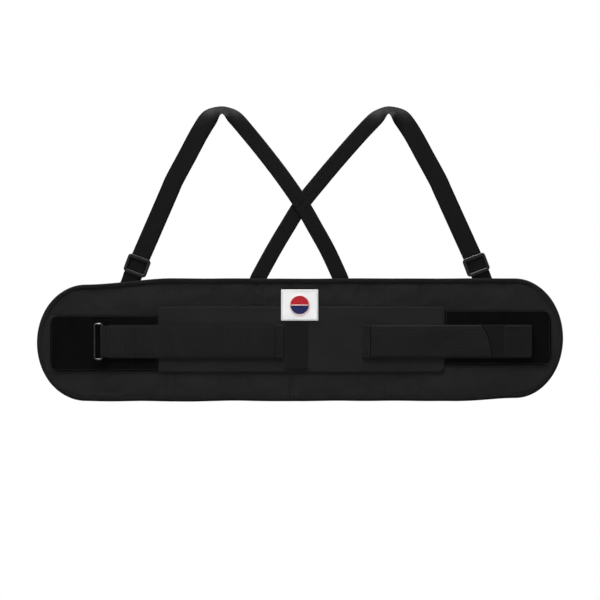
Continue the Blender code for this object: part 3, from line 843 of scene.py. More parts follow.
def belt_sheet(inset):
    """The belt's x and z at every point of a sheet as large as the belt, moved in by inset."""
    turns = np.radians((15, 30, 45, 57, 68, 77, 84, 87.5))
    tip = [SHOULDER + (END_REACH - inset) * math.sin(turn) for turn in turns]
    keys = CHANNELS + [-FOLD_X, FOLD_X, -SHOULDER, SHOULDER] + tip + [-x for x in tip]
    keys += [CENTRE_SEAM - 0.0004, CENTRE_SEAM + 0.0004]
    x = stations(keys, MESH_STEP)
    bottom, top = edges(x)
    depth = TOP - BOTTOM
    near = [0, 0.0065 / depth, 0.010 / depth]
    share = stations(near + [1 - part for part in near], MESH_STEP / depth)
    z = bottom[:, None] + inset + (top - bottom - 2 * inset)[:, None] * share
    return np.broadcast_to(x[:, None], z.shape), z


def half_sheets(name, x, front, back, material, slot, panel):
    """Both halves of a belt sheet. Each laps a little over the other at the centre seam, which they share."""
    seam = int(np.argmin(np.abs(x[:, 0] - CENTRE_SEAM)))
    for hand, word, part, rim in ((-1, "left", slice(0, seam + 1), -1), (1, "right", slice(seam, None), 0)):
        half = [face[part].copy() for face in (front, back)]
        for face in half:
            face[rim, :, 0] -= hand * SEAM_LAP
        piece = finer(shell(f"{name}_{word}", *half, material))
        yield across_fold(piece, hand, slot, panel[0], f"{word}_{panel[1]}"), front[part]


def nearest(x, places):
    """Distance along the belt from each point to the nearest of those places."""
    return np.min(np.abs(x[..., None] - np.array(places)), -1)


def border_distance(x, z):
    """Distance from each point to the belt's edge."""
    bottom, top = edges(x[:, 0])
    return np.minimum(np.minimum(z - bottom[:, None], top[:, None] - z), HALF_LENGTH - np.abs(x))


def stay_ridge(x, z, size):
    """The stays that show faintly through the cloth."""
    bottom, top = low("stay_1").z, high("stay_1").z
    ends = smooth((z - bottom) / 0.004) * smooth((top - z) / 0.004)
    return size * smooth((0.0062 - nearest(x, STAY_X)) / 0.0025) * ends


def cloth_area(front):
    """Area of a sheet's outline, from its columns."""
    tall = front[:, -1, 2] - front[:, 0, 2]
    return float(np.trapz(tall, front[:, 0, 0]))


class BELT_OT_outer_cloth(Operator):
    """The elastic outer cloth, sewn through at the stay pockets, in two halves that meet at the centre seam"""

    bl_idname = "belt.outer_cloth"
    bl_label = "Outer cloth"

    def execute(self, context):
        dip, dip_reach, stay_stand, slack = 0.0005, 0.0045, 0.00025, 0.030
        x, z = belt_sheet(SEAM_ALLOWANCE)
        border, channel = border_distance(x, z), nearest(x, CHANNELS)
        face = OUTER + 0.0002
        boxes = sides("middle_band"), LEFT_PILE, RIGHT_PILE
        covered = np.logical_or.reduce([within(box, x, z, PATCH_HOLD) for box in boxes])
        depth = np.where(covered, 0.0, dip) * smooth((dip_reach - channel) / dip_reach)
        y = face + depth - stay_ridge(x, z, np.where(covered, 0, stay_stand))
        y = np.where(border < TAPE_HOLD, np.maximum(y, face), y)
        pinned = covered | (channel < SEAM_HOLD) | (border < TAPE_HOLD)
        front = inflated(np.stack([x, y, z], -1), pinned, -1, sizes().front_puff, slack)
        back = np.stack([x, np.full(x.shape, OUTER_BACK), z], -1)
        panel = ("outer_panel", "outer_panel")
        for piece, face in half_sheets("outer_cloth", x, front, back, "elastic", "elastic", panel):
            flat = (float(np.ptp(face[..., 2])), float(np.ptp(face[..., 0])))
            cloth_area(face)
        return {"FINISHED"}


class BELT_OT_lining(Operator):
    """The padded mesh lining, quilted by the pocket seams, in two halves that meet at the centre seam"""

    bl_idname = "belt.lining"
    bl_label = "Lining"

    def execute(self, context):
        dip, dip_reach, stay_stand, slack = 0.0014, 0.0055, 0.0003, 0.035
        edge_back, pad_back = LINING_BACK - 0.0013, LINING_BACK - 0.0004
        x, z = belt_sheet(SEAM_ALLOWANCE)
        border, channel = border_distance(x, z), nearest(x, CHANNELS)
        closing = within(sides("closure_hook_patch"), x, z, 0.002)
        y = edge_back + (pad_back - edge_back) * smooth((border - 0.0072) / 0.006)
        y = y - dip * smooth((dip_reach - channel) / dip_reach) * smooth((border - 0.007) / 0.004)
        y = y + stay_ridge(x, z, stay_stand)
        pinned = closing | (channel < SEAM_HOLD) | (border < 0.0078)
        back = inflated(np.stack([x, y, z], -1), pinned, 1, sizes().lining_puff, slack)
        front = np.stack([x, np.full(x.shape, LINING), z], -1)
        panel = ("inner_lining", "lining")
        for piece, _ in half_sheets("lining", x, front, back, "lining", "lining", panel):
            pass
        return {"FINISHED"}


def border_line(hand, inset):
    """The belt's edge from the centre seam along the top, round the tip and back, moved in by inset."""
    x = hand * stations([hand * CENTRE_SEAM, SHOULDER], 0.003)
    turns = np.radians(np.linspace(0, 90, 30))[1:]
    tip_x = hand * (SHOULDER + END_REACH * np.sin(turns))
    whole = np.concatenate([x, tip_x])
    bottom, top = edges(whole)
    upper, lower = (np.stack([whole, np.zeros(len(whole)), height], -1) for height in (top, bottom))
    line = np.vstack([upper, lower[-2::-1]])
    along = directions(line)
    inward = np.stack([along[:, 2], np.zeros(len(line)), -along[:, 0]], -1) * hand
    inward[0] = inward[1] * (0, 0, 1)
    inward[-1] = inward[-2] * (0, 0, 1)
    return line + inward * inset, inward


def binding_section():
    """The folded tape's section: how far in from the edge and how far back, out along it and back inside it."""
    width, cloth, crown, turn = 0.0072, 0.0006, 0.00022, 0.0011
    front, back = BINDING, BINDING_BACK
    centre = (front + back) / 2
    leg = [(width, 0.00025), (width * 0.86, 0), (width * 0.55, -crown), (width * 0.25, 0)]
    leg += [(turn * 0.3, turn * 0.45), (0, turn * 1.2)]
    outside = [(inset, front + deep) for inset, deep in leg] + [(0, centre)]
    outside += [(inset, back - deep) for inset, deep in reversed(leg)]
    inside = []
    for inset, y in outside:
        towards = cloth if y < centre else -cloth
        shift = towards * min(1.0, abs(y - centre) / (back - centre))
        inside.append((inset + cloth * (1 - inset / width), y + shift))
    return np.array(outside), np.array(inside[::-1])


class BELT_OT_binding(Operator):
    """The grosgrain tape folded over the whole edge, in two lengths joined at the centre seam"""

    bl_idname = "belt.binding"
    bl_label = "Edge binding"

    def execute(self, context):
        outside, inside = binding_section()
        section = np.vstack([outside, inside])
        for hand, word in ((-1, "left"), (1, "right")):
            line, inward = border_line(hand, 0.0)
            gone = lengths(line)
            ripple = sway(gone, 60, hand * 5.0, 1.5)
            widths = 1 + 0.05 * ripple
            rings, cloth = [], []
            flat = lengths(np.column_stack([section, np.zeros(len(section))]))
            for place, into, wide, far, lump in zip(line, inward, widths, gone, ripple):
                ring = place + np.outer(section[:, 0] * wide, into)
                ring[:, 1] = section[:, 1] - 0.00010 * lump * (section[:, 0] > 0.002)
                rings.append(ring)
                cloth.append(np.column_stack([flat, np.full(len(section), far)]))
            piece = skin(f"binding_{word}", rings, cloth, "binding")
            across_fold(piece, hand, "binding", "top_binding", "bottom_binding", f"{word}_binding")
        return {"FINISHED"}


def rumple(amount, per_metre, seed):
    """Gentle unevenness of a sewn patch, as relief for patch()."""
    def relief(x, z):
        places = np.stack([x, z], -1).reshape(-1, 2) * per_metre
        heights = [noise.fractal(Vector((a, b, seed)), 0.8, 2.1, 3) for a, b in places]
        return amount * np.array(heights).reshape(x.shape)
    return relief


def gathered(x, z):
    """The band's own small puckers beside its top and bottom seam."""
    _, _, bottom, top = sides("middle_band")
    near = np.minimum(z - bottom, top - z)
    pucker = np.sin(x * math.tau / 0.0135 + 1.7 * np.sin(x * 31)) * np.exp(-((near - 0.004) / 0.006) ** 2)
    strap = smooth((0.0276 - np.abs(z - middle("left_side_strap").z)) / 0.004)
    return 0.00018 * pucker + 0.00022 * (1 - strap) * smooth(near / 0.012)


class BELT_OT_patches(Operator):
    """The second elastic layer, the pile patches and the tape behind the label"""

    bl_idname = "belt.patches"
    bl_label = "Band and patches"

    def execute(self, context):
        left, right, bottom, top = box = sides("middle_band")
        band = patch("band", box, (BAND, BAND_BACK), "elastic", (0.002, 0.008, 0.002, 0.002), gathered)
        settle(band, "back_panel", "elastic", "middle_band")
        for hand, word, box, corners in (
            (-1, "left", LEFT_PILE, (0.016, 0, 0, 0.016)),
            (1, "right", RIGHT_PILE, (0, 0.016, 0.016, 0)),
        ):
            relief = rumple(0.00022, 160, hand * 3.0)
            pile = patch(f"pile_{word}", box, (BAND, BAND_BACK), "pile", corners, relief, 0.003)
            across_fold(pile, hand, "pile", f"{word}_pile_inner", f"{word}_pile_outer")
            flat = (box[3] - box[2], box[1] - box[0])
        tape = patch("centre_tape_cover", sides("centre_tape"), faces("centre_tape"), "tape")
        settle(tape, "back_panel", "binding", "centre_tape")
        return {"FINISHED"}


def hook_rows(box, y, out, reach):
    """Small bent hooks in rows over a box, opening to one side in one row and to the other in the next."""
    left, right, bottom, top = box
    pitch = sizes().hook_pitch
    x = np.arange(left + pitch, right - pitch / 2, pitch)
    z = np.arange(bottom + pitch, top - pitch / 2, pitch * 0.8)
    columns, rows = np.meshgrid(x, z, indexing="ij")
    hand = np.broadcast_to(np.where(np.arange(len(z)) % 2, 1.0, -1.0), columns.shape).reshape(-1)
    feet = np.stack([columns, np.full(columns.shape, y), rows], -1).reshape(-1, 3)
    bend = np.array([(0.0, 0.0), (0.0, 0.55), (0.22, 0.95), (0.60, 0.98), (0.80, 0.62)]) * reach
    thick = np.array([0.20, 0.15, 0.13, 0.12, 0.07]) * reach
    centre = feet[:, None] + out * bend[None, :, 1:2]
    centre[..., 2] += hand[:, None] * bend[None, :, 0]
    turns = (np.arange(4) + 0.5) / 4 * math.tau
    ring = np.zeros((*centre.shape[:2], 4, 3))
    ring[..., 0] = np.cos(turns) * thick[:, None]
    ring[..., 2] = np.sin(turns) * thick[:, None] * np.array([1, 1, 0.7, 0.3, 0.8])[:, None]
    ring[..., 1] = np.sin(turns) * thick[:, None] * np.array([0, 0.1, 0.7, 1, 0.4])[:, None]
    rings = centre[:, :, None] + ring
    cloth = np.stack(np.meshgrid(bend[:, 1], turns * 0.0002, indexing="ij"), -1)
    return rings, np.broadcast_to(cloth, (*rings.shape[:3], 2))


class BELT_OT_hooks(Operator):
    """The hook tape that closes the belt and holds the side straps: a woven backing and rows of hooks"""

    bl_idname = "belt.hooks"
    bl_label = "Hook tape"

    def execute(self, context):
        wall = 0.0007
        front, back = faces("closure_hook_patch")
        box = sides("closure_hook_patch")
        backing = patch("closing_tape", box, (front, front + wall), "hook", (0.016, 0, 0, 0.016))
        rows = hook_rows(box, front + wall, BACK, back - front - wall + 0.0004)
        hooks = skin("closing_hooks", *rows, "hooks")
        settle(backing, "left_end", "hook", "closure_hook_patch")
        settle(hooks, "left_end", "hook")
        wall = 0.00025
        for word in ("left", "right"):
            node = f"{word}_strap_hook"
            front, back = faces(node)
            tape = patch(f"{word}_strap_tape", sides(node), (front, front + wall), "hook")
            rows = hook_rows(sides(node), front + wall, BACK, back - front - wall)
            settle(tape, f"{word}_strap", "hook", node)
            settle(skin(f"{word}_strap_hooks", *rows, "hooks"), f"{word}_strap", "hook")
        return {"FINISHED"}


# Where the right side strap's cloth ends at its bottom and top edge, and how far the end bulges between
STRAP_END_LOW, STRAP_END_HIGH, STRAP_END_BULGE = 0.317, 0.299, 0.004


def strap_end(z):
    """How far along the belt the right side strap's cloth reaches at a height."""
    _, _, bottom, top = sides("right_side_strap")
    share = (z - bottom) / (top - bottom)
    return STRAP_END_LOW + (STRAP_END_HIGH - STRAP_END_LOW) * share + STRAP_END_BULGE * np.sin(math.pi * share)


class BELT_OT_side_straps(Operator):
    """The two elastic side straps: the left one folded round its ring, the right one with its tabs"""

    bl_idname = "belt.side_straps"
    bl_label = "Side straps"

    def execute(self, context):
        self.sewn_ends()
        self.left_strap()
        self.ring()
        self.right_strap()
        return {"FINISHED"}

    def sewn_ends(self):
        for word in ("left", "right"):
            node = f"{word}_strap_base"
            base = patch(f"{word}_strap_root", sides(node), faces(node), "strap", step=0.003)
            settle(base, "back_panel", "elastic", node)

    def left_strap(self):
        """Along the belt, over the front of the ring's inner bar, round it and back under itself."""
        node = "left_side_strap"
        y = middle(node).y
        axis = middle("left_strap_loop")
        inner = high("left_strap_loop").x - axis.x - 0.0006
        turns = np.radians(np.linspace(-78, -258, 14))
        wrap = [(axis.x + inner * math.cos(turn), axis.y + inner * math.sin(turn)) for turn in turns]
        run = [(x, y) for x in np.linspace(high(node).x, axis.x + 0.016, 40)]
        rise = [(axis.x + 0.011, y - 0.0005), (axis.x + 0.006, axis.y - inner * 0.72)]
        tuck = [(axis.x + 0.0034, y + 0.0004)]
        line = np.array(run + rise + wrap + tuck)
        flat = np.column_stack([line, np.full(len(line), middle(node).z)])
        flat[:, 1] -= 0.00025 * np.clip(sway(line[:, 0], 22, 0.0, 4.0), 0, 1) * (line[:, 0] > axis.x + 0.02)
        along = directions(flat)
        up_way = np.broadcast_to(np.array([0.0, 0.0, 1.0]), flat.shape)
        out = np.cross(up_way, along)
        near = smooth((line[:, 0] - axis.x - 0.004) / 0.014)
        widths = high(node).z - low(node).z - 0.0028 * (1 - near)
        piece = strip("left_strap_cloth", flat, up_way, out, widths, 0.0012 + 0.0004 * near, "strap")
        settle(piece, "left_strap", "strap_elastic", node, "left_strap_loop")

    def ring(self):
        """The wire ring, with its weld in the middle of the inner bar."""
        least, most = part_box("left_ring")
        wire = (most.y - least.y) / 2
        box = (least.x + wire, most.x - wire, least.z + wire, most.z - wire)
        centre = middle("left_ring")
        rings, cloth, path = hoop(box, 0.0030, centre.y, wire, wire)
        weld = np.exp(-((path[:, 2] - centre.z) / 0.0016) ** 2) * (path[:, 0] > centre.x)
        rings = path[:, None] + (rings - path[:, None]) * (1 + 0.10 * weld)[:, None, None]
        settle(skin("wire_ring", rings, cloth, "ring", closed=True), "ring", "ring_metal", "left_ring")

    def right_strap(self):
        """Elastic up to its slanted curved end, then the hook tab with the pull tab folded over it."""
        node, pull_node = "right_side_strap", "right_pull_tab"
        left, _, bottom, top = box = sides(node)
        tab_right = high("right_hook_tab").x

        def elastic_sides(z):
            return np.full(len(z), left), strap_end(z)

        def tab_sides(z):
            return strap_end(z) + 0.0004, np.full(len(z), tab_right)

        cloth = patch("right_strap_cloth", box, faces(node), "strap",
                      relief=rumple(0.00022, 45, 8.0), sides_at=elastic_sides)
        hook = patch("right_strap_end", (STRAP_END_HIGH, tab_right, bottom, top), faces(node), "hook",
                     (0, 0.003, 0.003, 0), sides_at=tab_sides, step=0.003)
        pull = patch("pull_tab", sides(pull_node), faces(pull_node), "tape",
                     (0.003,) * 4, rumple(0.0003, 60, 2.0), 0.0025)
        settle(cloth, "right_strap", "strap_elastic", node)
        settle(hook, "right_strap", "hook", "right_hook_tab")
        settle(pull, "right_strap", "strap_elastic", pull_node)


class BELT_OT_label(Operator):
    """The woven label and its round two-colour emblem, worked in satin stitch"""

    bl_idname = "belt.label"
    bl_label = "Label"

    def execute(self, context):
        left, right, bottom, top = box = sides("label")
        front = low("label").y
        relief = rumple(0.00018, 55, 5.0)
        cloth = patch("woven_label", box, faces("label"), "label", (0.0012,) * 4, relief, 0.0025)
        settle(cloth, "back_panel", "label_cloth", "label")
        hem = sew("label_hem", outline(box, 0.0016, front - 0.0001, FRONT), "label_thread", 0.0024, 0.00030)
        settle(hem, "back_panel", "binding")
        self.emblem(front)
        return {"FINISHED"}

    def emblem(self, y):
        """Two half discs of fill stitches on felt, a straight stripe between them and a satin border."""
        centre = middle("label_emblem")
        radius = high("label_emblem").x - centre.x
        inner = radius - 0.0012
        felt, pitch = 0.00020, 0.00055
        halves_of_disc = (
            ("upper", (centre.z, centre.z + inner), (0, 0, inner, inner), ["label_emblem"]),
            ("lower", (centre.z - inner, centre.z), (inner, inner, 0, 0), []),
        )
        for word, (bottom, top), corners, stands_for in halves_of_disc:
            box = (centre.x - inner, centre.x + inner, bottom, top)
            base = patch(f"emblem_{word}_felt", box, (y - felt, y), f"emblem_{word}", corners, step=0.0015)
            settle(base, "back_panel", "emblem_thread", *stands_for)
            starts, ends = [], []
            for row, z in enumerate(np.arange(bottom + pitch / 2, top, pitch)):
                reach = math.sqrt(max(0, inner**2 - (z - centre.z) ** 2))
                marks = np.arange(-0.0174, 0.0175, 0.0058) + (row % 3 - 1) * 0.0011
                marks = marks[np.abs(marks) < reach - 0.001]
                places = [(centre.x + mark, y - felt, z) for mark in (-reach, *marks, reach)]
                starts += places[:-1]
                ends += places[1:]
            made = beads(starts, ends, FRONT, pitch * 0.56, 0.00004, 1.04, 0.8)
            settle(skin(f"emblem_{word}_fill", *made, f"emblem_{word}"), "back_panel", "emblem_thread")
        turns = np.arange(170) / 170 * math.tau
        ring = np.stack([np.cos(turns), np.zeros(len(turns)), np.sin(turns)], -1)
        hub = np.array((centre.x, y - felt - 0.0001, centre.z))
        made = beads(hub + ring * (radius - 0.0021), hub + ring * radius, FRONT, 0.00036, 0.00020, 1.0, 0.7)
        settle(skin("emblem_border", *made, "emblem_line"), "back_panel", "emblem_thread")
        x = np.arange(-inner + 0.0014, inner - 0.0012, 0.00052)
        line = hub + np.stack([x, np.zeros(len(x)), np.zeros(len(x))], -1)
        half = np.array((0, 0, 0.0011))
        made = beads(line - half, line + half, FRONT, 0.00030, 0.00018, 1.0, 0.7)
        settle(skin("emblem_stripe", *made, "emblem_line"), "back_panel", "emblem_thread")


def strap_course(word):
    """Centre, way across, way out, width and thickness along a shoulder strap, sewn ends included."""
    foot_x, lean, hand = LEGS[word]
    legs = [(foot_x - hand * math.tan(lean) * (height - EDGE_HEIGHT), height, 0)
            for height in LEG_HEIGHTS + SEWN_HEIGHTS]
    (back_x, foot, _), (next_x, next_height, _) = ROUTES[word][:2]
    slope = (next_x - back_x) / (next_height - foot)
    sewn = [(back_x + slope * (height - foot), height, 0) for height in SEWN_HEIGHTS[::-1]]
    line = curve(sewn + list(ROUTES[word]) + legs, 0.0045)
    x, height, lift = line.T
    centres = np.column_stack([x, WEB_Y + hand * CROSSING_LIFT * lift, up(height)])
    flat = centres * (1, 0, 1)
    along = directions(flat)
    gone = lengths(flat)
    away = gone - gone[np.argmax(flat[:, 2])]
    tilt = SHOULDER_TURN * np.exp(-((away / SHOULDER_LENGTH) ** 2))
    inner = np.stack([along[:, 2], np.zeros(len(along)), -along[:, 0]], -1) * hand
    across = inner * np.cos(tilt)[:, None] + np.outer(-np.sin(tilt), (0, 1, 0))
    out = np.cross(along, across)
    above = smooth((height - 0.196) / 0.007)
    widths = sizes().back_width + (sizes().front_width - sizes().back_width) * smooth((away + 0.03) / 0.06)
    thick = SEWN_THICKNESS + (sizes().webbing - SEWN_THICKNESS) * above
    return centres, across, out, widths - SEWN_NARROWING * (1 - above), thick


class BELT_OT_shoulder_straps(Operator):
    """The crossed webbing straps, sewn in at both ends, and their turned-up ends behind the adjusters"""

    bl_idname = "belt.shoulder_straps"
    bl_label = "Shoulder straps"

    def execute(self, context):
        for word in ("left", "right"):
            strap = strip(f"shoulder_strap_{word}", *strap_course(word), "webbing")
            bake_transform(strap)
            other = "right" if word == "left" else "left"
            dress(strap, "webbing", f"suspender_{word}", f"back_anchor_{other}", f"front_anchor_{word}")
            self.turned_end(word)
        return {"FINISHED"}

    def turned_end(self, word):
        """The strap's end, which comes up behind the leg, built at one length; on the belt itself it stretches
        out as the adjuster is pushed up.
        """
        foot_x, lean, hand = LEGS[word]
        node = f"{word}_webbing_return"
        foot = np.array((foot_x, middle(node).y, low(node).z + 0.0005))
        upward = np.array((-hand * math.sin(lean), 0, math.cos(lean)))
        reach = (high(node).z - low(node).z) / math.cos(lean) * 0.86
        line = foot + np.outer(np.linspace(0, reach, 12), upward)
        side = np.array((math.cos(lean), 0, hand * math.sin(lean)))
        level = 1 - smooth(lengths(line) / TURNED_LEVEL)
        across = side - np.outer(level, hand * math.tan(lean) * upward)
        out = np.broadcast_to(FRONT, line.shape)
        width, thickness = (np.full(len(line), size) for size in TURNED_SIZE)
        piece = strip(f"turned_end_{word}", line, across, out, width, thickness, "webbing")
        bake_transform(piece)
        dress(piece, "webbing", node)


def bars(rods):
    """Rounded bars. A rod is its middle, its axis, its half length along that, and half its other two sizes."""
    turns, around = rounded_section(5.0)
    t = np.array([-1, -0.97, -0.88, -0.6, 0, 0.6, 0.88, 0.97, 1])
    fullness = (1 - np.abs(t) ** 14) ** 0.5 * 0.55 + 0.45
    rings = []
    for centre, axis, half_long, half_deep, half_wide in rods:
        ring = np.zeros((len(t), len(turns), 3))
        ring[..., axis] = (t * half_long)[:, None]
        ring[..., 1] = fullness[:, None] * around[:, 0] * half_deep
        ring[..., 2 - axis] = fullness[:, None] * around[:, 1] * half_wide
        rings.append(ring + np.array(centre))
    return np.array(rings)


ADJUSTER_LEAN = math.radians(20.5)


class BELT_OT_adjusters(Operator):
    """The two moulded adjusters: a rounded rim before the webbing and a toothed bar behind it"""

    bl_idname = "belt.adjusters"
    bl_label = "Strap adjusters"

    def execute(self, context):
        for word in ("left", "right"):
            self.adjuster(word)
        return {"FINISHED"}

    def adjuster(self, word):
        node = f"{word}_slider"
        hand = LEGS[word][2]
        front, back = faces(node)
        half_wide, half_tall, side, bar = 0.0197, 0.0155, 0.0033, 0.0050
        web = sizes().webbing / 2 + 0.0003
        before, behind = WEB_Y - web - front, back - WEB_Y - web
        along_x, along_z = 0, 2
        rods = [((turn * (half_wide - side / 2), (front + back) / 2, 0), along_z,
                 half_tall - 0.0030, (back - front) / 2, side / 2) for turn in (-1, 1)]
        rods += [((0, back - behind / 2, 0), along_x, half_wide - 0.0010, behind / 2, bar / 2)]
        rods += [((x, WEB_Y + web, 0), along_z, bar / 2 - 0.0006, 0.00022, 0.0005)
                 for x in np.linspace(-0.0135, 0.0135, 10)]
        rings = bars(rods)
        piece = skin(f"{word}_adjuster_frame", rings, rings[..., ::2], "moulded")
        box = (-half_wide + bar / 2, half_wide - bar / 2, -half_tall + bar / 2, half_tall - bar / 2)
        rings, cloth, _ = hoop(box, 0.0030, front + before / 2, bar / 2, before / 2, 4.0)
        self.fuse(piece, skin("rim", rings, cloth, "moulded", closed=True))
        lean, centre = ADJUSTER_LEAN * hand, middle(node)
        points = np.zeros(len(piece.data.vertices) * 3)
        piece.data.vertices.foreach_get("co", points)
        points = points.reshape(-1, 3)
        turned = points.copy()
        turned[:, 0] = points[:, 0] * math.cos(lean) - points[:, 2] * math.sin(lean) + centre.x
        turned[:, 2] = points[:, 0] * math.sin(lean) + points[:, 2] * math.cos(lean) + centre.z
        piece.data.vertices.foreach_set("co", turned.ravel())
        lay_cloth(piece.data, points[:, ::2])
        settle(piece, f"{word}_adjuster", "slider_plastic", node)

    def fuse(self, piece, rim):
        """Grows the bars and the rim into one moulding with soft inside corners, in the mesh itself."""
        both = bmesh.new()
        for part in (piece, rim):
            both.from_mesh(part.data)
        both.to_mesh(piece.data)
        both.free()
        bpy.data.objects.remove(rim)
        fuse = piece.modifiers.new("fuse", "REMESH")
        fuse.mode = "VOXEL"
        fuse.voxel_size = 0.00040
        fuse.use_smooth_shade = True
        soften = piece.modifiers.new("soften", "SMOOTH")
        soften.factor = 0.5
        soften.iterations = 9
        shaped = bpy.data.meshes.new_from_object(piece.evaluated_get(bpy.context.evaluated_depsgraph_get()))
        piece.modifiers.clear()
        piece.data = shaped
        piece.data.materials.clear()
        piece.data.materials.append(stuff("moulded"))
        piece.data.shade_smooth()


# How far the stitches lie in from the edge of the belt and of its patches
EDGE_SEAM, PATCH_SEAM = 0.0056, 0.0022


class BELT_OT_stitching(Operator):
    """All the sewing thread: edge, pockets, band, patches and strap ends"""

    bl_idname = "belt.stitching"
    bl_label = "Stitching"

    def execute(self, context):
        for hand, word, pile in ((-1, "left", LEFT_PILE), (1, "right", RIGHT_PILE)):
            line, _ = border_line(hand, EDGE_SEAM)
            runs = []
            for y, out in ((BINDING + 0.00002, FRONT), (BINDING_BACK + 0.00005, BACK)):
                row = line.copy()
                row[:, 1] = y
                runs.append((row, out))
            runs += outline(pile, PATCH_SEAM, BAND - 0.0001, FRONT)
            thread = sew(f"edge_thread_{word}", runs, "thread")
            across_fold(thread, hand, "binding")
        hook = "closure_hook_patch"
        closing = sew("closing_thread", outline(sides(hook), PATCH_SEAM, low(hook).y + 0.0008, BACK), "thread")
        settle(closing, "left_end", "binding")
        self.pockets()
        self.straps()
        return {"FINISHED"}

    def pockets(self):
        """The stay pockets, the second band's edge, the tape under the label and the crossed boxes."""
        box = sides("middle_band")
        bottom, top = box[2:]
        clear = 0.009
        runs = []
        for x in CHANNELS:
            under, over = (float(height[0]) for height in edges(np.array([x])))
            runs.append((upright(x, under + clear, bottom - 0.002, OUTER + 0.00015), FRONT))
            if x != CENTRE_SEAM:
                runs.append((upright(x, top + 0.002, over - clear, OUTER + 0.00015), FRONT))
            runs.append((upright(x, under + clear, over - clear, LINING_BACK - 0.0014), BACK))
        seam = BAND - 0.00005
        runs += outline(box, 0.0024, seam, FRONT)
        joined = (STAY_X[1] - POCKET_MARGIN, STAY_X[2] + POCKET_MARGIN)
        runs.append((level(*joined, bottom + 0.0045, seam), FRONT))
        a, b, c, d = sides("centre_tape")
        for x in (a + 0.002, b - 0.002):
            runs.append((upright(x, c + 0.002, d - 0.001, low("centre_tape").y), FRONT))
        for node in ("left_strap_base", "right_strap_base"):
            a, b, c, d = sides(node)
            runs += crossed_box((a + 0.002, b - 0.002, c + 0.003, d - 0.003), low(node).y - 0.0001)
        for node in ("back_anchor_left", "back_anchor_right"):
            a, b, c, d = sides(node)
            runs += crossed_box((a + 0.002, b - 0.002, top + 0.006, d - 0.008), OUTER - 0.0005)
        settle(sew("pocket_thread", runs, "thread"), "back_panel", "binding")

    def straps(self):
        """The rows at the side straps' ends, and the diamond where the shoulder straps cross."""
        for word, runs in (("left", self.left_rows()), ("right", self.right_rows())):
            settle(sew(f"{word}_strap_thread", runs, "thread", 0.0027), f"{word}_strap", "strap_elastic")
        x, height = CROSSING
        half, y = 0.0085, WEB_Y - CROSSING_LIFT - sizes().webbing / 2
        diamond = np.array([(0, half), (half, 0), (0, -half), (-half, 0), (0, half)]) * (1, 1.25)
        line = [(x + a, y, up(height) + b) for a, b in diamond]
        settle(sew("crossing_thread", [(line, FRONT)], "thread"), "suspenders", "webbing")

    def left_rows(self):
        node = "left_side_strap"
        a, _, c, d = sides(node)
        y = low(node).y - 0.0001
        return [(upright(x, c + 0.003, d - 0.003, y), FRONT) for x in (a + 0.0125, a + 0.0165)]

    def right_rows(self):
        node, tab = "right_side_strap", "right_pull_tab"
        z = np.linspace(low(node).z + 0.003, high(node).z - 0.003, 9)
        slant = np.column_stack([strap_end(z) - 0.0026, np.full(len(z), low(node).y), z])
        return outline(sides(tab), 0.0024, low(tab).y, FRONT) + [(slant, FRONT)]


class BELT_OT_stays(Operator):
    """The moulded stays inside their pockets keep their shape and take their plastic"""

    bl_idname = "belt.stays"
    bl_label = "Stays"

    def execute(self, context):
        for number in range(1, 7):
            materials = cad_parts[f"stay_{number}"].data.materials
            materials.clear()
            materials.append(stuff("stay"))
        return {"FINISHED"}


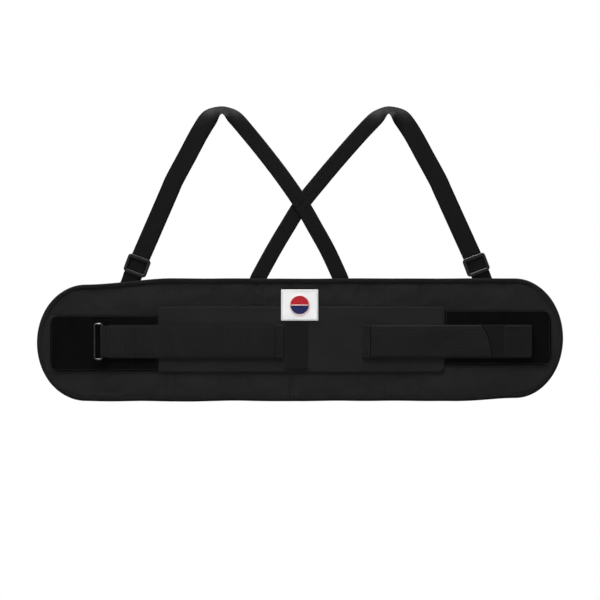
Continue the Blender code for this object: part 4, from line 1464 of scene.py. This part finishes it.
class BELT_OT_stage(Operator):
    """A pale floor well below the belt, soft lights, a white surround and the camera"""

    bl_idname = "belt.stage"
    bl_label = "Stage"

    def execute(self, context):
        self.floor()
        self.lights()
        self.camera()
        return {"FINISHED"}

    def floor(self):
        stage = bpy.context.scene.belt_stage
        turns = np.arange(96) / 96 * math.tau
        reach, height = stage.floor_reach, BOTTOM - stage.floor_drop
        rim = [(reach * math.cos(turn), reach * math.sin(turn), height) for turn in turns]
        mesh = bpy.data.meshes.new("floor")
        mesh.from_pydata(rim, [], [list(range(len(rim)))])
        mesh.materials.append(stuff("floor"))
        show("floor", mesh)

    def lights(self):
        stage = bpy.context.scene.belt_stage
        spots = (
            ("above", (-0.45, -0.62, 2.95), 1.6, 1.1),
            ("front_left", (-2.6, -3.2, 1.2), 1.8, 0.10),
            ("front_right", (2.6, -3.2, 0.9), 1.8, 0.06),
            ("behind", (2.9, 2.2, 1.5), 1.6, 0.55),
        )
        target = Vector((0, 0, up(0.20)))
        for name, place, size, share in spots:
            lamp = bpy.data.lights.new(name, "AREA")
            lamp.shape = "DISK"
            lamp.size = size
            lamp.energy = stage.key * share
            light = show(name, lamp)
            light.location = place
            light.rotation_mode = "QUATERNION"
            light.rotation_quaternion = (target - Vector(place)).to_track_quat("-Z", "Y")
        world = bpy.data.worlds.new("studio")
        world.use_nodes = True
        bpy.context.scene.world = world
        nodes = Nodes(world.node_tree)
        white = (1, 1, 1, 1)
        seen = Value(nodes, nodes.tree.nodes["Background"].outputs[0])
        nodes.feed(seen.socket.node.inputs["Color"], white)
        around = nodes.node("ShaderNodeBackground", {}, {"Color": white, "Strength": stage.ambient})
        in_view = nodes.node("ShaderNodeLightPath")
        either = nodes.node("ShaderNodeMixShader", {}, {0: in_view, 1: around, 2: seen})
        nodes.feed(nodes.tree.nodes["World Output"].inputs["Surface"], either)
        bpy.context.scene.view_settings.view_transform = "Standard"

    def camera(self):
        stage = bpy.context.scene.belt_stage
        data = bpy.data.cameras.new("camera")
        data.lens = stage.lens
        data.sensor_width = 36.0
        camera = show("camera", data)
        camera.location = (0, -stage.field * stage.lens / data.sensor_width, up(0.167))
        camera.rotation_euler = (math.pi / 2, 0, 0)
        bpy.context.scene.camera = camera


PIECES = (
    BELT_OT_outer_cloth, BELT_OT_lining, BELT_OT_binding, BELT_OT_patches, BELT_OT_hooks, BELT_OT_side_straps,
    BELT_OT_label, BELT_OT_shoulder_straps, BELT_OT_adjusters, BELT_OT_stitching, BELT_OT_stays, BELT_OT_stage,
)


class BELT_PT_sidebar(Panel):
    bl_label = "Back-support Belt"
    bl_idname = "BELT_PT_sidebar"
    bl_space_type = "VIEW_3D"
    bl_region_type = "UI"
    bl_category = "Belt"

    def draw(self, context):
        layout = self.layout
        for kind in PIECES:
            layout.operator(kind.bl_idname)
        for settings in (context.scene.belt_sizes, context.scene.belt_colours, context.scene.belt_stage):
            box = layout.box()
            for name in settings.bl_rna.properties.keys():
                if name not in ("rna_type", "name"):
                    box.prop(settings, name)


GROUPS = {"belt_sizes": BeltSizes, "belt_colours": BeltColours, "belt_stage": BeltStage}


def register():
    for kind in (*GROUPS.values(), *PIECES, BELT_PT_sidebar):
        bpy.utils.register_class(kind)
    for name, group in GROUPS.items():
        setattr(bpy.types.Scene, name, PointerProperty(type=group))


def unregister():
    for name in GROUPS:
        delattr(bpy.types.Scene, name)
    for kind in (BELT_PT_sidebar, *reversed(PIECES), *GROUPS.values()):
        bpy.utils.unregister_class(kind)


def main():
    register()
    for kind in PIECES:
        family, name = kind.bl_idname.split(".")
        getattr(getattr(bpy.ops, family), name)()


if __name__ == "__main__":
    main()
